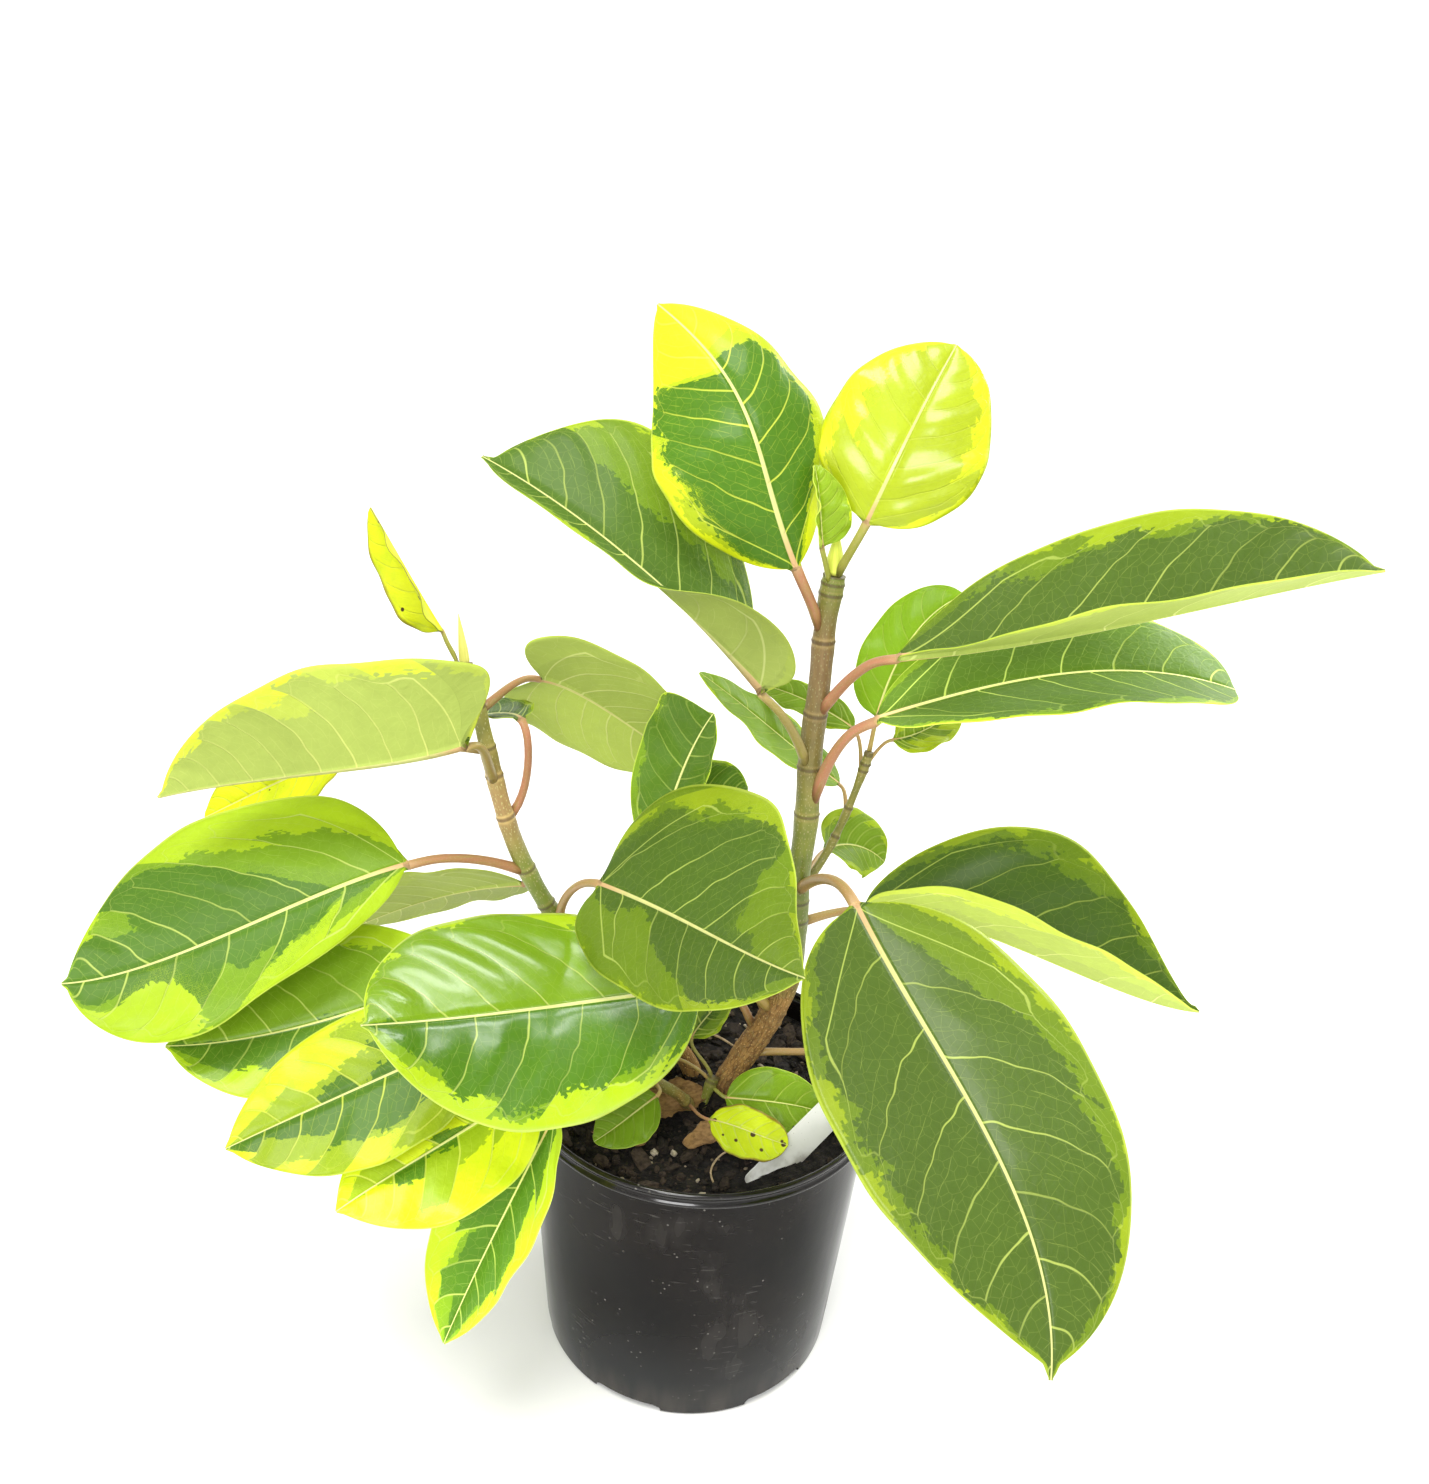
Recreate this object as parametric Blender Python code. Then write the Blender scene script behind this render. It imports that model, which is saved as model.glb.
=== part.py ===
# Potted rubber plant: a round nursery pot of soil with rooted stems and large folded leaves.
# Metres, +Z up, origin on the floor under the middle of the pot, front toward -Y.

import math

import bpy
import numpy as np

for old in list(bpy.data.objects):
    bpy.data.objects.remove(old, do_unlink=True)

MM = 0.001

# Pot
POT_HEIGHT = 170 * MM
BODY_BASE_RADIUS = 84.5 * MM
BODY_TOP_RADIUS = 97.0 * MM
RIM_RADIUS = 100 * MM
RIM_HEIGHT = 8 * MM
RIM_ROUND = 2 * MM
WALL = 2.2 * MM
FLOOR_THICKNESS = 3 * MM
POT_SIDES = 48
NOTCH_COUNT = 6
NOTCH_WIDTH = 40 * MM
NOTCH_HEIGHT = 5 * MM
NOTCH_DEPTH = 5 * MM
NOTCH_TURN = 9

# Soil
SOIL_LEVEL = 156 * MM
SOIL_BULGE = 2.5 * MM
SOIL_RINGS = 7
HOLE_DEPTH = 30 * MM
STEM_FOOT = 28 * MM
FIT_GAP = 0.3 * MM
STALK_GAP = 0.4 * MM

# Leaves
BLADE_THICKNESS = 0.8 * MM
RIB_START_DEPTH = 1.1
RIB_END_DEPTH = 0.25
STEM_SIDES = 12

# Each stem is a row of points in mm with its radius there. The first point is the foot in the soil.
STEMS = {
    "main_stem": (
        (13, -2, 128, 6.5), (13, -2, 160, 6.6), (22, 0, 179, 6.9), (36, 1, 207, 6.7),
        (44, 0, 233, 6.3), (45, 0, 264, 6.0), (44, 0, 291, 6.0), (45, 0, 324, 6.1),
        (44, 0, 371, 5.9), (45, 0, 401, 5.6), (45, 0, 437, 5.2), (47, 0, 459, 4.9),
    ),
    "left_stem": (
        (-6, 12, 128, 5.6), (-6, 12, 160, 5.5), (-22, 18, 179, 5.3), (-45, 20, 202, 5.2),
        (-68, 18, 228, 5.0), (-89, 10, 263, 4.8), (-103, 5, 296, 4.6), (-111, 0, 325, 4.5),
        (-118, 0, 356, 4.1), (-124, 0, 384, 3.6), (-129, 0, 402, 3.2),
    ),
    "low_shoot": (
        (-5, -22, 128, 3.3), (-5, -22, 160, 3.2), (-12, -28, 173, 3.0), (-30, -39, 192, 2.9),
        (-50, -50, 211, 2.7), (-73, -58, 229, 2.5), (-96, -62, 247, 2.3),
    ),
    "small_shoot": (
        (3, -15, 128, 2.3), (3, -15, 160, 2.2), (5, -13, 167, 2.0), (7, -11, 173, 1.9),
    ),
}
BACK_TWIG = (
    (45, 2, 286, 2.3), (55, 12, 297, 2.2), (67, 20, 324, 2.0), (72, 20, 343, 1.9), (76, 20, 361, 1.8),
)

# Buds: foot and tip in mm and the widest radius.
BUDS = {
    "top_sheath": ((47, 0, 459.8), (46, -2, 482), 4.2),
    "left_bud": ((-129.1, 0, 402.5), (-132, 1, 428), 2.4),
}

# Label: the near end of its upper edge, the way that edge runs and the way down its face.
LABEL_CORNER = (25, -71, 157)
LABEL_ALONG = (36, 30, 24)
LABEL_DOWN = (0.3, -0.1, -0.95)
LABEL_LENGTH = 74 * MM
LABEL_WIDTH = 20 * MM
LABEL_THICKNESS = 0.8 * MM

# Leaves. midrib: four points in mm from the foot of the blade to its tip. face: compass and
# height in degrees of the way the upper side looks. half: widths in mm of the left and right
# halves, seen from above with the tip ahead. fold and curl: degrees each half is raised, and
# bent further toward its edge, read from foot to tip. full: how blunt foot and tip are, small
# for blunt. on: the stem and the height in mm of the joint. lift: how far the stalk first
# follows the stem.
LEAVES = {
    "leaf_front_right": dict(
        midrib=((68, -60, 315), (105, -118, 276), (135, -172, 241), (145, -215, 195)),
        face=(-80, 42), half=(61, 63), fold=(4, 12), curl=(-8, -8), full=(0.62, 0.76),
        on=("main_stem", 288), stalk=3.0, lift=0.35,
    ),
    "leaf_right_upper": dict(
        midrib=((78, -30, 431), (144, -50, 452), (201, -72, 477), (254, -92, 500)),
        face=(-95, 77), half=(52, 46), fold=(36, 38), curl=(-5, -5), peak=0.5, full=(0.78, 0.72),
        on=("main_stem", 386), stalk=2.7, lift=0.2,
    ),
    "leaf_right_middle": dict(
        midrib=((73, -20, 396), (127, -24, 418), (180, -28, 430), (234, -30, 425)),
        face=(-95, 80), half=(45, 44), fold=(14, 10), peak=0.5, full=(0.6, 0.45),
        on=("main_stem", 330), stalk=3.0, lift=0.5,
    ),
    "leaf_right_lower": dict(
        midrib=((83, 15, 271), (140, 0, 271), (198, -28, 263), (240, -60, 269)),
        face=(-95, 88), half=(62, 52), fold=(50, 52), peak=(0.40, 0.48),
        full=((0.9, 0.6), (1.15, 0.6)), on=("main_stem", 268), stalk=2.5, lift=0.1,
    ),
    "leaf_top": dict(
        midrib=((28, -10, 464), (10, -14, 509), (-7, -4, 543), (-44, 32, 573)),
        face=(-95, 15), half=(49, 36), fold=(0, -5), curl=(-10, -45), full=(0.8, 0.62),
        on=("main_stem", 424), stalk=2.8, lift=0.5,
    ),
    "leaf_top_lime": dict(
        midrib=((58, -15, 489), (68, -13, 516), (79, -3, 540), (93, 15, 565)),
        face=(-100, 20), half=(39, 37), fold=(5, 5), curl=(-20, -20), peak=0.46,
        full=(0.55, 0.5), on=("main_stem", 452), stalk=2.2, lift=0.3,
    ),
    "leaf_new": dict(
        midrib=((39, -12, 476), (37, -14, 488), (35, -14, 500), (32, -12, 512)),
        face=(-60, 0), half=(5, 14), fold=(50, 30), peak=0.36,
        on=("main_stem", 447), stalk=1.4, lift=0.5,
    ),
    "leaf_upper_left": dict(
        midrib=((15, -30, 411), (-21, -20, 443), (-68, -4, 475), (-124, 22, 500)),
        face=(-60, 40), half=(46, 47), fold=((105, 88, 45, 36, 30), (25, 15, 5, 0, 0)),
        curl=(0, -10), roll=(40, 20, -5, -15, -20), peak=0.5, full=((0.42, 1.0), (0.6, 0.6)),
        lobe=(22, 0), on=("main_stem", 356), stalk=2.5, lift=0.3,
    ),
    "leaf_left_small": dict(
        midrib=((-141, 0, 419), (-151, 4, 434), (-165, 12, 454), (-178, 20, 472)),
        face=(-153, 10), half=(18, 16), fold=(27, 27),
        on=("left_stem", 394), stalk=1.4, lift=-0.2,
    ),
    "leaf_left_upper": dict(
        midrib=((-124, -33, 373), (-167, -38, 362), (-217, -44, 354), (-265, -50, 344)),
        face=(-90, 88), half=(54, 40), fold=(88, 15), curl=(-5, 0), peak=0.42,
        full=((0.38, 0.6), (0.8, 0.8)), lobe=(10, 0), on=("left_stem", 340), stalk=2.5, lift=0.1,
    ),
    "leaf_left_back": dict(
        midrib=((-104, 12, 371), (-115, 26, 367), (-130, 38, 360), (-147, 48, 351)),
        face=(-90, 84), half=(20, 16), fold=(10, 10),
        on=("left_stem", 318), stalk=2.2, lift=-0.5,
    ),
    "leaf_left_inner": dict(
        midrib=((-97, 42, 382), (-72, 56, 366), (-42, 66, 342), (-9, 70, 319)),
        face=(90, 35), half=(54, 42), fold=(5, 5), lobe=(0, 10),
        on=("left_stem", 378), stalk=2.2, lift=0.1,
    ),
    "leaf_left_large": dict(
        midrib=((-155, -30, 305), (-204, -55, 292), (-253, -80, 276), (-296, -100, 271)),
        face=(-100, 58), half=(52, 68), fold=(-8, 8), curl=(-20, -8), full=((0.95, 0.6), 0.66),
        on=("left_stem", 284), stalk=2.6, lift=0.3,
    ),
    "leaf_left_under": dict(
        midrib=((-103, 16, 273), (-134, 26, 261), (-169, 36, 243), (-212, 46, 216)),
        face=(90, 50), half=(38, 38), fold=(5, 5),
        on=("left_stem", 262), stalk=2.2, lift=0.1,
    ),
    "leaf_withered": dict(
        midrib=((-200, 22, 338), (-224, 20, 327), (-248, 15, 315), (-271, 10, 303)),
        face=(-90, 50), half=(20, 22), fold=(10, 20), peak=0.4,
        on=("left_stem", 356), stalk=1.6, lift=0.1,
    ),
    "leaf_centre": dict(
        midrib=((-57, -26, 299), (-19, -70, 310), (11, -114, 322), (36, -165, 343)),
        face=(-88, 38), half=(64, 42), fold=(5, 8), curl=(-8, -12), peak=(0.38, 0.42),
        full=((0.5, 0.5), (0.85, 0.72)), lobe=(12, 20), on=("left_stem", 250), stalk=2.4, lift=0.5,
    ),
    "leaf_centre_back": dict(
        midrib=((-33, 22, 285), (-25, 20, 326), (-16, 17, 357), (-6, 12, 380)),
        face=(-90, 20), half=(30, 14), fold=(0, 20), peak=0.55, full=((0.6, 0.6), (0.4, 0.7)),
        on=("main_stem", 192), stalk=2.0, lift=0.3,
    ),
    "leaf_centre_low": dict(
        midrib=((-33, 50, 309), (-16, 44, 321), (0, 37, 328), (15, 31, 329)),
        face=(-90, 60), half=(18, 18), fold=(10, 10),
        on=("main_stem", 203), stalk=1.8, lift=0.3,
    ),
    "leaf_front": dict(
        midrib=((-5, -30, 244), (-56, -70, 259), (-102, -112, 277), (-140, -158, 302)),
        face=(-88, 52), half=(56, 54), fold=(2, 2), curl=(-18, -14), peak=0.5, full=(0.6, 0.62),
        on=("main_stem", 209), stalk=2.6, lift=0.4,
    ),
    "leaf_low_1": dict(
        midrib=((-129, -52, 255), (-173, -62, 239), (-216, -76, 231), (-257, -90, 232)),
        face=(-90, 55), half=(40, 46), fold=(5, 5),
        on=("low_shoot", 245), stalk=1.8, lift=0.6,
    ),
    "leaf_low_2": dict(
        midrib=((-112, -84, 244), (-145, -98, 232), (-180, -115, 221), (-214, -132, 210)),
        face=(-90, 50), half=(38, 34), fold=(5, 5),
        on=("low_shoot", 236), stalk=1.8, lift=0.4,
    ),
    "leaf_low_3": dict(
        midrib=((-84, -82, 215), (-111, -102, 204), (-138, -122, 195), (-162, -142, 187)),
        face=(-90, 50), half=(36, 30), fold=(5, 5),
        on=("low_shoot", 222), stalk=1.8, lift=0.3,
    ),
    "leaf_low_4": dict(
        midrib=((-71, -84, 201), (-88, -103, 166), (-103, -119, 134), (-117, -134, 100)),
        face=(-120, 25), half=(28, 32), fold=(25, 25),
        on=("low_shoot", 205), stalk=1.8, lift=0.2,
    ),
    "leaflet_front": dict(
        midrib=((-23, -57, 194), (-33, -64, 189), (-42, -70, 184), (-52, -77, 180)),
        face=(-90, 50), half=(15, 15), fold=(8, 8),
        on=("low_shoot", 186), stalk=1.1, lift=0.2,
    ),
    "leaflet_green": dict(
        midrib=((15, -19, 166), (34, -21, 167), (53, -22, 166), (70, -24, 163)),
        face=(-90, 50), half=(18, 17), fold=(8, 8),
        on=("small_shoot", 168), stalk=1.1, lift=0.1,
    ),
    "leaflet_yellow": dict(
        midrib=((7, -49, 175), (20, -53, 175), (34, -57, 173), (47, -61, 172)),
        face=(-90, 60), half=(12, 15), fold=(6, 6), peak=0.5, full=(0.5, 0.5),
        on=("low_shoot", 163), stalk=0.9, lift=0.1,
    ),
    "leaflet_pale": dict(
        midrib=((-6, -7, 197), (0, -4, 206), (7, -2, 216), (13, 0, 227)),
        face=(-90, 50), half=(10, 10), fold=(12, 12),
        on=("small_shoot", 171), stalk=1.0, lift=0.5,
    ),
    "leaflet_inner": dict(
        midrib=((-14, -8, 182), (-27, -8, 186), (-40, -9, 188), (-52, -10, 187)),
        face=(-90, 60), half=(13, 13), fold=(10, 10),
        on=("small_shoot", 170), stalk=1.0, lift=0.2,
    ),
    "leaf_low_right": dict(
        midrib=((66, 2, 186), (88, 3, 189), (109, 4, 187), (130, 5, 181)),
        face=(-80, 62), half=(22, 22), fold=(12, 12),
        on=("main_stem", 181), stalk=2.2, lift=0.1,
    ),
    "leaf_back_lime": dict(
        midrib=((79, 30, 378), (85, 33, 402), (97, 36, 426), (117, 38, 443)),
        face=(-100, 20), half=(20, 26), fold=(5, 5), curl=(-15, -15), full=(0.55, 0.55),
        on=("main_stem", 357), stalk=1.3, lift=0.5, twig=True,
    ),
    "leaf_back_left": dict(
        midrib=((63, 32, 337), (37, 38, 354), (12, 44, 371), (-15, 50, 388)),
        face=(-30, 60), half=(20, 18), fold=(6, 6),
        on=("main_stem", 325), stalk=1.2, lift=0.3, twig=True,
    ),
    "leaf_back_small": dict(
        midrib=((67, 36, 368), (51, 48, 373), (34, 59, 376), (20, 68, 376)),
        face=(-90, 60), half=(11, 11), fold=(8, 8),
        on=("main_stem", 347), stalk=1.1, lift=0.3, twig=True,
    ),
    "leaf_back_low": dict(
        midrib=((63, 46, 290), (75, 56, 288), (87, 61, 283), (98, 64, 274)),
        face=(-90, 50), half=(22, 20), fold=(8, 8),
        on=("main_stem", 279), stalk=1.3, lift=0.2,
    ),
    "leaf_back_right": dict(
        midrib=((88, 18, 370), (99, 22, 372), (112, 31, 376), (124, 40, 383)),
        face=(-90, 60), half=(12, 13), fold=(8, 8),
        on=("main_stem", 352), stalk=1.0, lift=0.2, twig=True,
    ),
}
# Leaves under these lengths in mm are built with fewer rows and columns.
LARGE_LEAF = 120
SMALL_LEAF = 75
# Column beside the midrib, placed by the width of the rib instead of a share of the blade.
RIB = 0.031


def pair(value):
    return tuple(value) if isinstance(value, (tuple, list)) else (value, value)


def unit(v):
    return v / np.linalg.norm(v)


def aim(azimuth, elevation):
    a, e = math.radians(azimuth), math.radians(elevation)
    return np.array([math.cos(e) * math.cos(a), math.cos(e) * math.sin(a), math.sin(e)])


def keyed(values, s):
    """Smooth curve through evenly spaced key values."""
    v = np.atleast_1d(np.asarray(values, float))
    if len(v) == 1:
        return np.full_like(s, v[0])
    x = s * (len(v) - 1)
    i = np.clip(x.astype(int), 0, len(v) - 2)
    f = x - i
    p0, p1, p2 = v[np.clip(i - 1, 0, None)], v[i], v[i + 1]
    p3 = v[np.clip(i + 2, None, len(v) - 1)]
    bend = 2 * p0 - 5 * p1 + 4 * p2 - p3
    return 0.5 * (2 * p1 + (p2 - p0) * f + bend * f ** 2 + (3 * p1 - p0 - 3 * p2 + p3) * f ** 3)


def smooth_path(points, count):
    """Smooth curve through unevenly spaced rows of numbers, evenly spaced along its length."""
    p = np.asarray(points, float)
    step = np.linalg.norm(np.diff(p[:, :3], axis=0), axis=1)
    at = np.concatenate([[0], np.cumsum(step)])
    slope = np.gradient(p, at, axis=0)
    want = np.linspace(0, at[-1], count)
    i = np.clip(np.searchsorted(at, want, side="right") - 1, 0, len(step) - 1)
    h = step[i][:, None]
    f = ((want - at[i]) / step[i])[:, None]
    a, b = p[i], p[i + 1]
    da, db = slope[i] * h, slope[i + 1] * h
    return ((2 * f ** 3 - 3 * f ** 2 + 1) * a + (f ** 3 - 2 * f ** 2 + f) * da
            + (3 * f ** 2 - 2 * f ** 3) * b + (f ** 3 - f ** 2) * db)


def midrib_at(leaf, s):
    a, b, c, d = [np.array(p, float) * MM for p in leaf["midrib"]]
    s = s[:, None]
    return (a * (s - 1 / 3) * (s - 2 / 3) * (s - 1) * -4.5 + b * s * (s - 2 / 3) * (s - 1) * 13.5
            - c * s * (s - 1 / 3) * (s - 1) * 13.5 + d * s * (s - 1 / 3) * (s - 2 / 3) * 4.5)


def blade_frames(leaf, s):
    """Midrib points with the forward, upward and rightward directions of the blade."""
    ahead = midrib_at(leaf, s + 0.001) - midrib_at(leaf, s - 0.001)
    ahead /= np.linalg.norm(ahead, axis=1)[:, None]
    face = aim(*leaf["face"])
    up = face - ahead * (ahead @ face)[:, None]
    up /= np.linalg.norm(up, axis=1)[:, None]
    right = np.cross(ahead, up)
    turn = np.radians(keyed(leaf.get("roll", 0), s))[:, None]
    up = np.cos(turn) * up + np.sin(turn) * right
    return midrib_at(leaf, s), ahead, up, np.cross(ahead, up)


def half_shape(s, peak, foot, tip):
    """Width of one half of a blade along its length, 1 at the widest place."""
    g = 2 * s ** (math.log(0.5) / math.log(peak)) - 1
    low = np.clip(1 - np.abs(g) ** 2.1, 0, 1) ** foot
    high = np.clip(1 - g ** 2, 0, 1) ** tip
    return np.where(g < 0, low, high)


def blade_rows(leaf, s, columns, rib):
    """Upper and lower points of the blade, rows along s and columns from left edge to right."""
    mid, ahead, up, right = blade_frames(leaf, s)
    foot, tip = leaf.get("full", (0.62, 0.72))
    upper, lower = [], []
    for column in columns:
        side = 1 if column > 0 else 0
        sign = 1.0 if column > 0 else -1.0
        width = half_shape(s, pair(leaf.get("peak", 0.44))[side], pair(foot)[side], pair(tip)[side])
        width = width * leaf["half"][side] * MM
        width = np.maximum(width, 1.5 * MM)
        if abs(column) == RIB:
            reach = np.minimum(rib, 0.4 * width)
        else:
            reach = abs(column) * width
        rise = np.radians(keyed(leaf["fold"][side], s))
        share = reach / width
        curl = np.radians(keyed(leaf.get("curl", (0, 0))[side], s)) * share
        curl = np.where(np.abs(curl) < 1e-6, 1e-6, curl)
        out = reach * (np.sin(rise + curl) - np.sin(rise)) / curl
        high = reach * (np.cos(rise) - np.cos(rise + curl)) / curl
        back = leaf.get("lobe", (0, 0))[side] * share ** 1.5 * (1 - s) ** 4 * width / leaf["half"][side]
        point = mid + sign * out[:, None] * right + high[:, None] * up - back[:, None] * ahead
        slope = (rise + curl)[:, None]
        normal = np.cos(slope) * up - sign * np.sin(slope) * right
        if column == 0:
            normal = up
        depth = np.full(len(s), BLADE_THICKNESS)
        if column == 0:
            depth = depth + rib * (RIB_START_DEPTH + (RIB_END_DEPTH - RIB_START_DEPTH) * s)
        upper.append(point)
        lower.append(point - normal * depth[:, None])
    return np.stack(upper, 1), np.stack(lower, 1)


def stem_place(name, height, twig):
    """Centre, direction and radius of a stem at a height in mm."""
    path = smooth_path(BACK_TWIG if twig else STEMS[name], 200)
    i = int(np.argmin(np.abs(path[:, 2] - height)))
    i = min(max(i, 1), len(path) - 2)
    return path[i, :3] * MM, unit(path[i + 1, :3] - path[i - 1, :3]), path[i, 3] * MM


def stalk_rings(leaf, per_ring, count):
    """Rings of the leaf stalk, from just outside its stem to the foot of the blade."""
    root, stem_dir, stem_radius = stem_place(*leaf["on"], leaf.get("twig", False))
    start = np.zeros(1)
    mid, ahead, up, right = (v[0] for v in blade_frames(leaf, start))
    chord = mid - root
    span = np.linalg.norm(chord)
    leave = unit(unit(chord) + leaf["lift"] * 1.6 * stem_dir)
    a, b, c = root, root + leave * span * 0.38, mid - ahead * span * 0.30
    u = np.linspace(0, 1, 60)[:, None]
    path = (1 - u) ** 3 * a + 3 * (1 - u) ** 2 * u * b + 3 * (1 - u) * u ** 2 * c + u ** 3 * mid
    clear = stem_radius + STALK_GAP
    off = path - root
    off = off - (off @ stem_dir)[:, None] * stem_dir
    radius = leaf["stalk"] * MM
    first = int(np.argmax(np.linalg.norm(off, axis=1) > clear + radius * 0.4))
    picks = np.unique(np.round(np.linspace(first, 59, count + 1)).astype(int))[:-1]
    rings = []
    n = up
    angles = ring_angles(per_ring)
    for k in reversed(picks):
        t = unit(path[k + 1] - path[k - 1])
        n = unit(n - t * (t @ n))
        r = np.cross(t, n)
        size = radius * (1.0 + 0.25 * (1 - k / 59) ** 3)
        ring = [path[k] + size * (math.cos(x) * r + math.sin(x) * n) for x in angles]
        rings.append((np.array(ring), path[k], t))
    rings.reverse()
    ring, centre, t = rings[0]
    both = np.vstack([ring, centre[None]])
    both = to_stem(both, t, root, stem_dir, clear)
    rings[0] = (both[:-1], both[-1], t)
    return [r[0] for r in rings], rings[0][1]


def to_stem(points, along, root, axis, radius):
    """Slides points back along a direction until they meet a cylinder."""
    flat = along - axis * (along @ axis)
    out = []
    for p in points:
        q = p - root
        q = q - axis * (q @ axis)
        a = flat @ flat
        b = q @ flat
        c = q @ q - radius ** 2
        root_term = max(b * b - a * c, 0)
        out.append(p + along * (-b + math.sqrt(root_term)) / a)
    return np.array(out)


def ring_angles(per_ring):
    """Angles of a stalk ring matching the upper row left to right, then the lower row back."""
    half = per_ring // 2
    over = [math.pi * (1 - (k + 0.5) / half) for k in range(half)]
    under = [-math.pi * (k + 0.5) / half for k in range(half)]
    return over + under


def leaf_mesh(leaf, blade_count, columns, stalk_count):
    """Closed leaf of stalk and blade as vertices and triangles."""
    per_ring = 2 * len(columns)
    s = 0.5 - 0.5 * np.cos(np.linspace(0.09, 0.962, blade_count) * math.pi)
    s = (s - s[0]) / (s[-1] - s[0]) * 0.985 + 0.008
    upper, lower = blade_rows(leaf, s, columns, leaf["stalk"] * MM)
    stalk, foot = stalk_rings(leaf, per_ring, stalk_count)
    rings = stalk + [np.vstack([upper[i], lower[i][::-1]]) for i in range(len(s))]
    verts = np.vstack(rings + [foot[None]])
    tris = []
    half = len(columns)
    for i in range(len(rings) - 1):
        a, b = i * per_ring, (i + 1) * per_ring
        for k in range(per_ring):
            m = (k + 1) % per_ring
            if k < half:
                tris += [(a + k, b + m, a + m), (a + k, b + k, b + m)]
            else:
                tris += [(a + k, b + k, a + m), (b + k, b + m, a + m)]
    centre = len(verts) - 1
    tris += [(centre, k, (k + 1) % per_ring) for k in range(per_ring)]
    last = (len(rings) - 1) * per_ring
    for k in range(half - 1):
        a, b = last + k, last + k + 1
        c, d = last + per_ring - 2 - k, last + per_ring - 1 - k
        tris += [(a, c, b), (a, d, c)]
    return verts, tris


def add_mesh(name, verts, faces, colour, roughness):
    mesh = bpy.data.meshes.new(name)
    mesh.from_pydata([tuple(v) for v in verts], [], [tuple(f) for f in faces])
    mesh.update()
    obj = bpy.data.objects.new(name, mesh)
    bpy.context.scene.collection.objects.link(obj)
    if colour is not None:
        mat = bpy.data.materials.new(name + "_finish")
        mat.use_nodes = True
        shader = mat.node_tree.nodes["Principled BSDF"]
        shader.inputs["Base Color"].default_value = (*colour, 1)
        shader.inputs["Roughness"].default_value = roughness
        mesh.materials.append(mat)
        for poly in mesh.polygons:
            poly.use_smooth = True
    return obj


def tube(name, path, radii, sides, colour, roughness):
    """Closed round rod along a path."""
    t = np.gradient(path, axis=0)
    t /= np.linalg.norm(t, axis=1)[:, None]
    n = unit(np.cross(t[0], [0.3, 1.0, 0.2]))
    verts = []
    for p, d, r in zip(path, t, radii):
        n = unit(n - d * (d @ n))
        side = np.cross(d, n)
        for k in range(sides):
            x = 2 * math.pi * k / sides
            verts.append(p + r * (math.cos(x) * n + math.sin(x) * side))
    count = len(path)
    faces = []
    for i in range(count - 1):
        for k in range(sides):
            m = (k + 1) % sides
            faces.append((i * sides + k, i * sides + m, (i + 1) * sides + m, (i + 1) * sides + k))
    faces.append(tuple(reversed(range(sides))))
    faces.append(tuple((count - 1) * sides + k for k in range(sides)))
    return add_mesh(name, verts, faces, colour, roughness)


def lathe(name, profile, sides, colour, roughness):
    """Closed ring of revolution round the Z axis; points on the axis close the middle."""
    verts, rows, faces = [], [], []
    for radius, height in profile:
        if radius < 1e-9:
            rows.append([len(verts)] * sides)
            verts.append((0, 0, height))
        else:
            rows.append(list(range(len(verts), len(verts) + sides)))
            for k in range(sides):
                x = 2 * math.pi * k / sides
                verts.append((radius * math.cos(x), radius * math.sin(x), height))
    for a, b in zip(rows, rows[1:]):
        for k in range(sides):
            m = (k + 1) % sides
            face = []
            for index in (a[k], a[m], b[m], b[k]):
                if index not in face:
                    face.append(index)
            if len(face) > 2:
                faces.append(face)
    return add_mesh(name, verts, faces, colour, roughness)


def combine(obj, other, operation):
    """Applies one exact Boolean and removes the second object."""
    step = obj.modifiers.new(operation.lower(), "BOOLEAN")
    step.operation = operation
    step.solver = "EXACT"
    step.object = other
    other.hide_render = True
    other.display_type = "WIRE"
    bpy.context.view_layer.objects.active = obj
    bpy.ops.object.modifier_apply(modifier=step.name)
    bpy.data.objects.remove(other, do_unlink=True)


def plate(name, corner, along, down, size, colour, roughness):
    """Thin rectangular plate, its upper edge starting at a corner."""
    along = unit(np.array(along, float))
    down = np.array(down, float)
    down = unit(down - along * (along @ down))
    out = np.cross(along, down)
    length, width, thickness = size
    corner = np.array(corner, float)
    verts = []
    for w in (0, 1):
        for u, v in ((0, 0), (1, 0), (1, 1), (0, 1)):
            verts.append(corner + u * length * along + v * width * down + w * thickness * out)
    faces = [(3, 2, 1, 0), (4, 5, 6, 7), (0, 1, 5, 4), (1, 2, 6, 5), (2, 3, 7, 6), (3, 0, 4, 7)]
    return add_mesh(name, verts, faces, colour, roughness)


def wall_radius(height):
    """Outer radius of the pot body at a height."""
    return BODY_BASE_RADIUS + (BODY_TOP_RADIUS - BODY_BASE_RADIUS) * height / POT_HEIGHT


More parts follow.
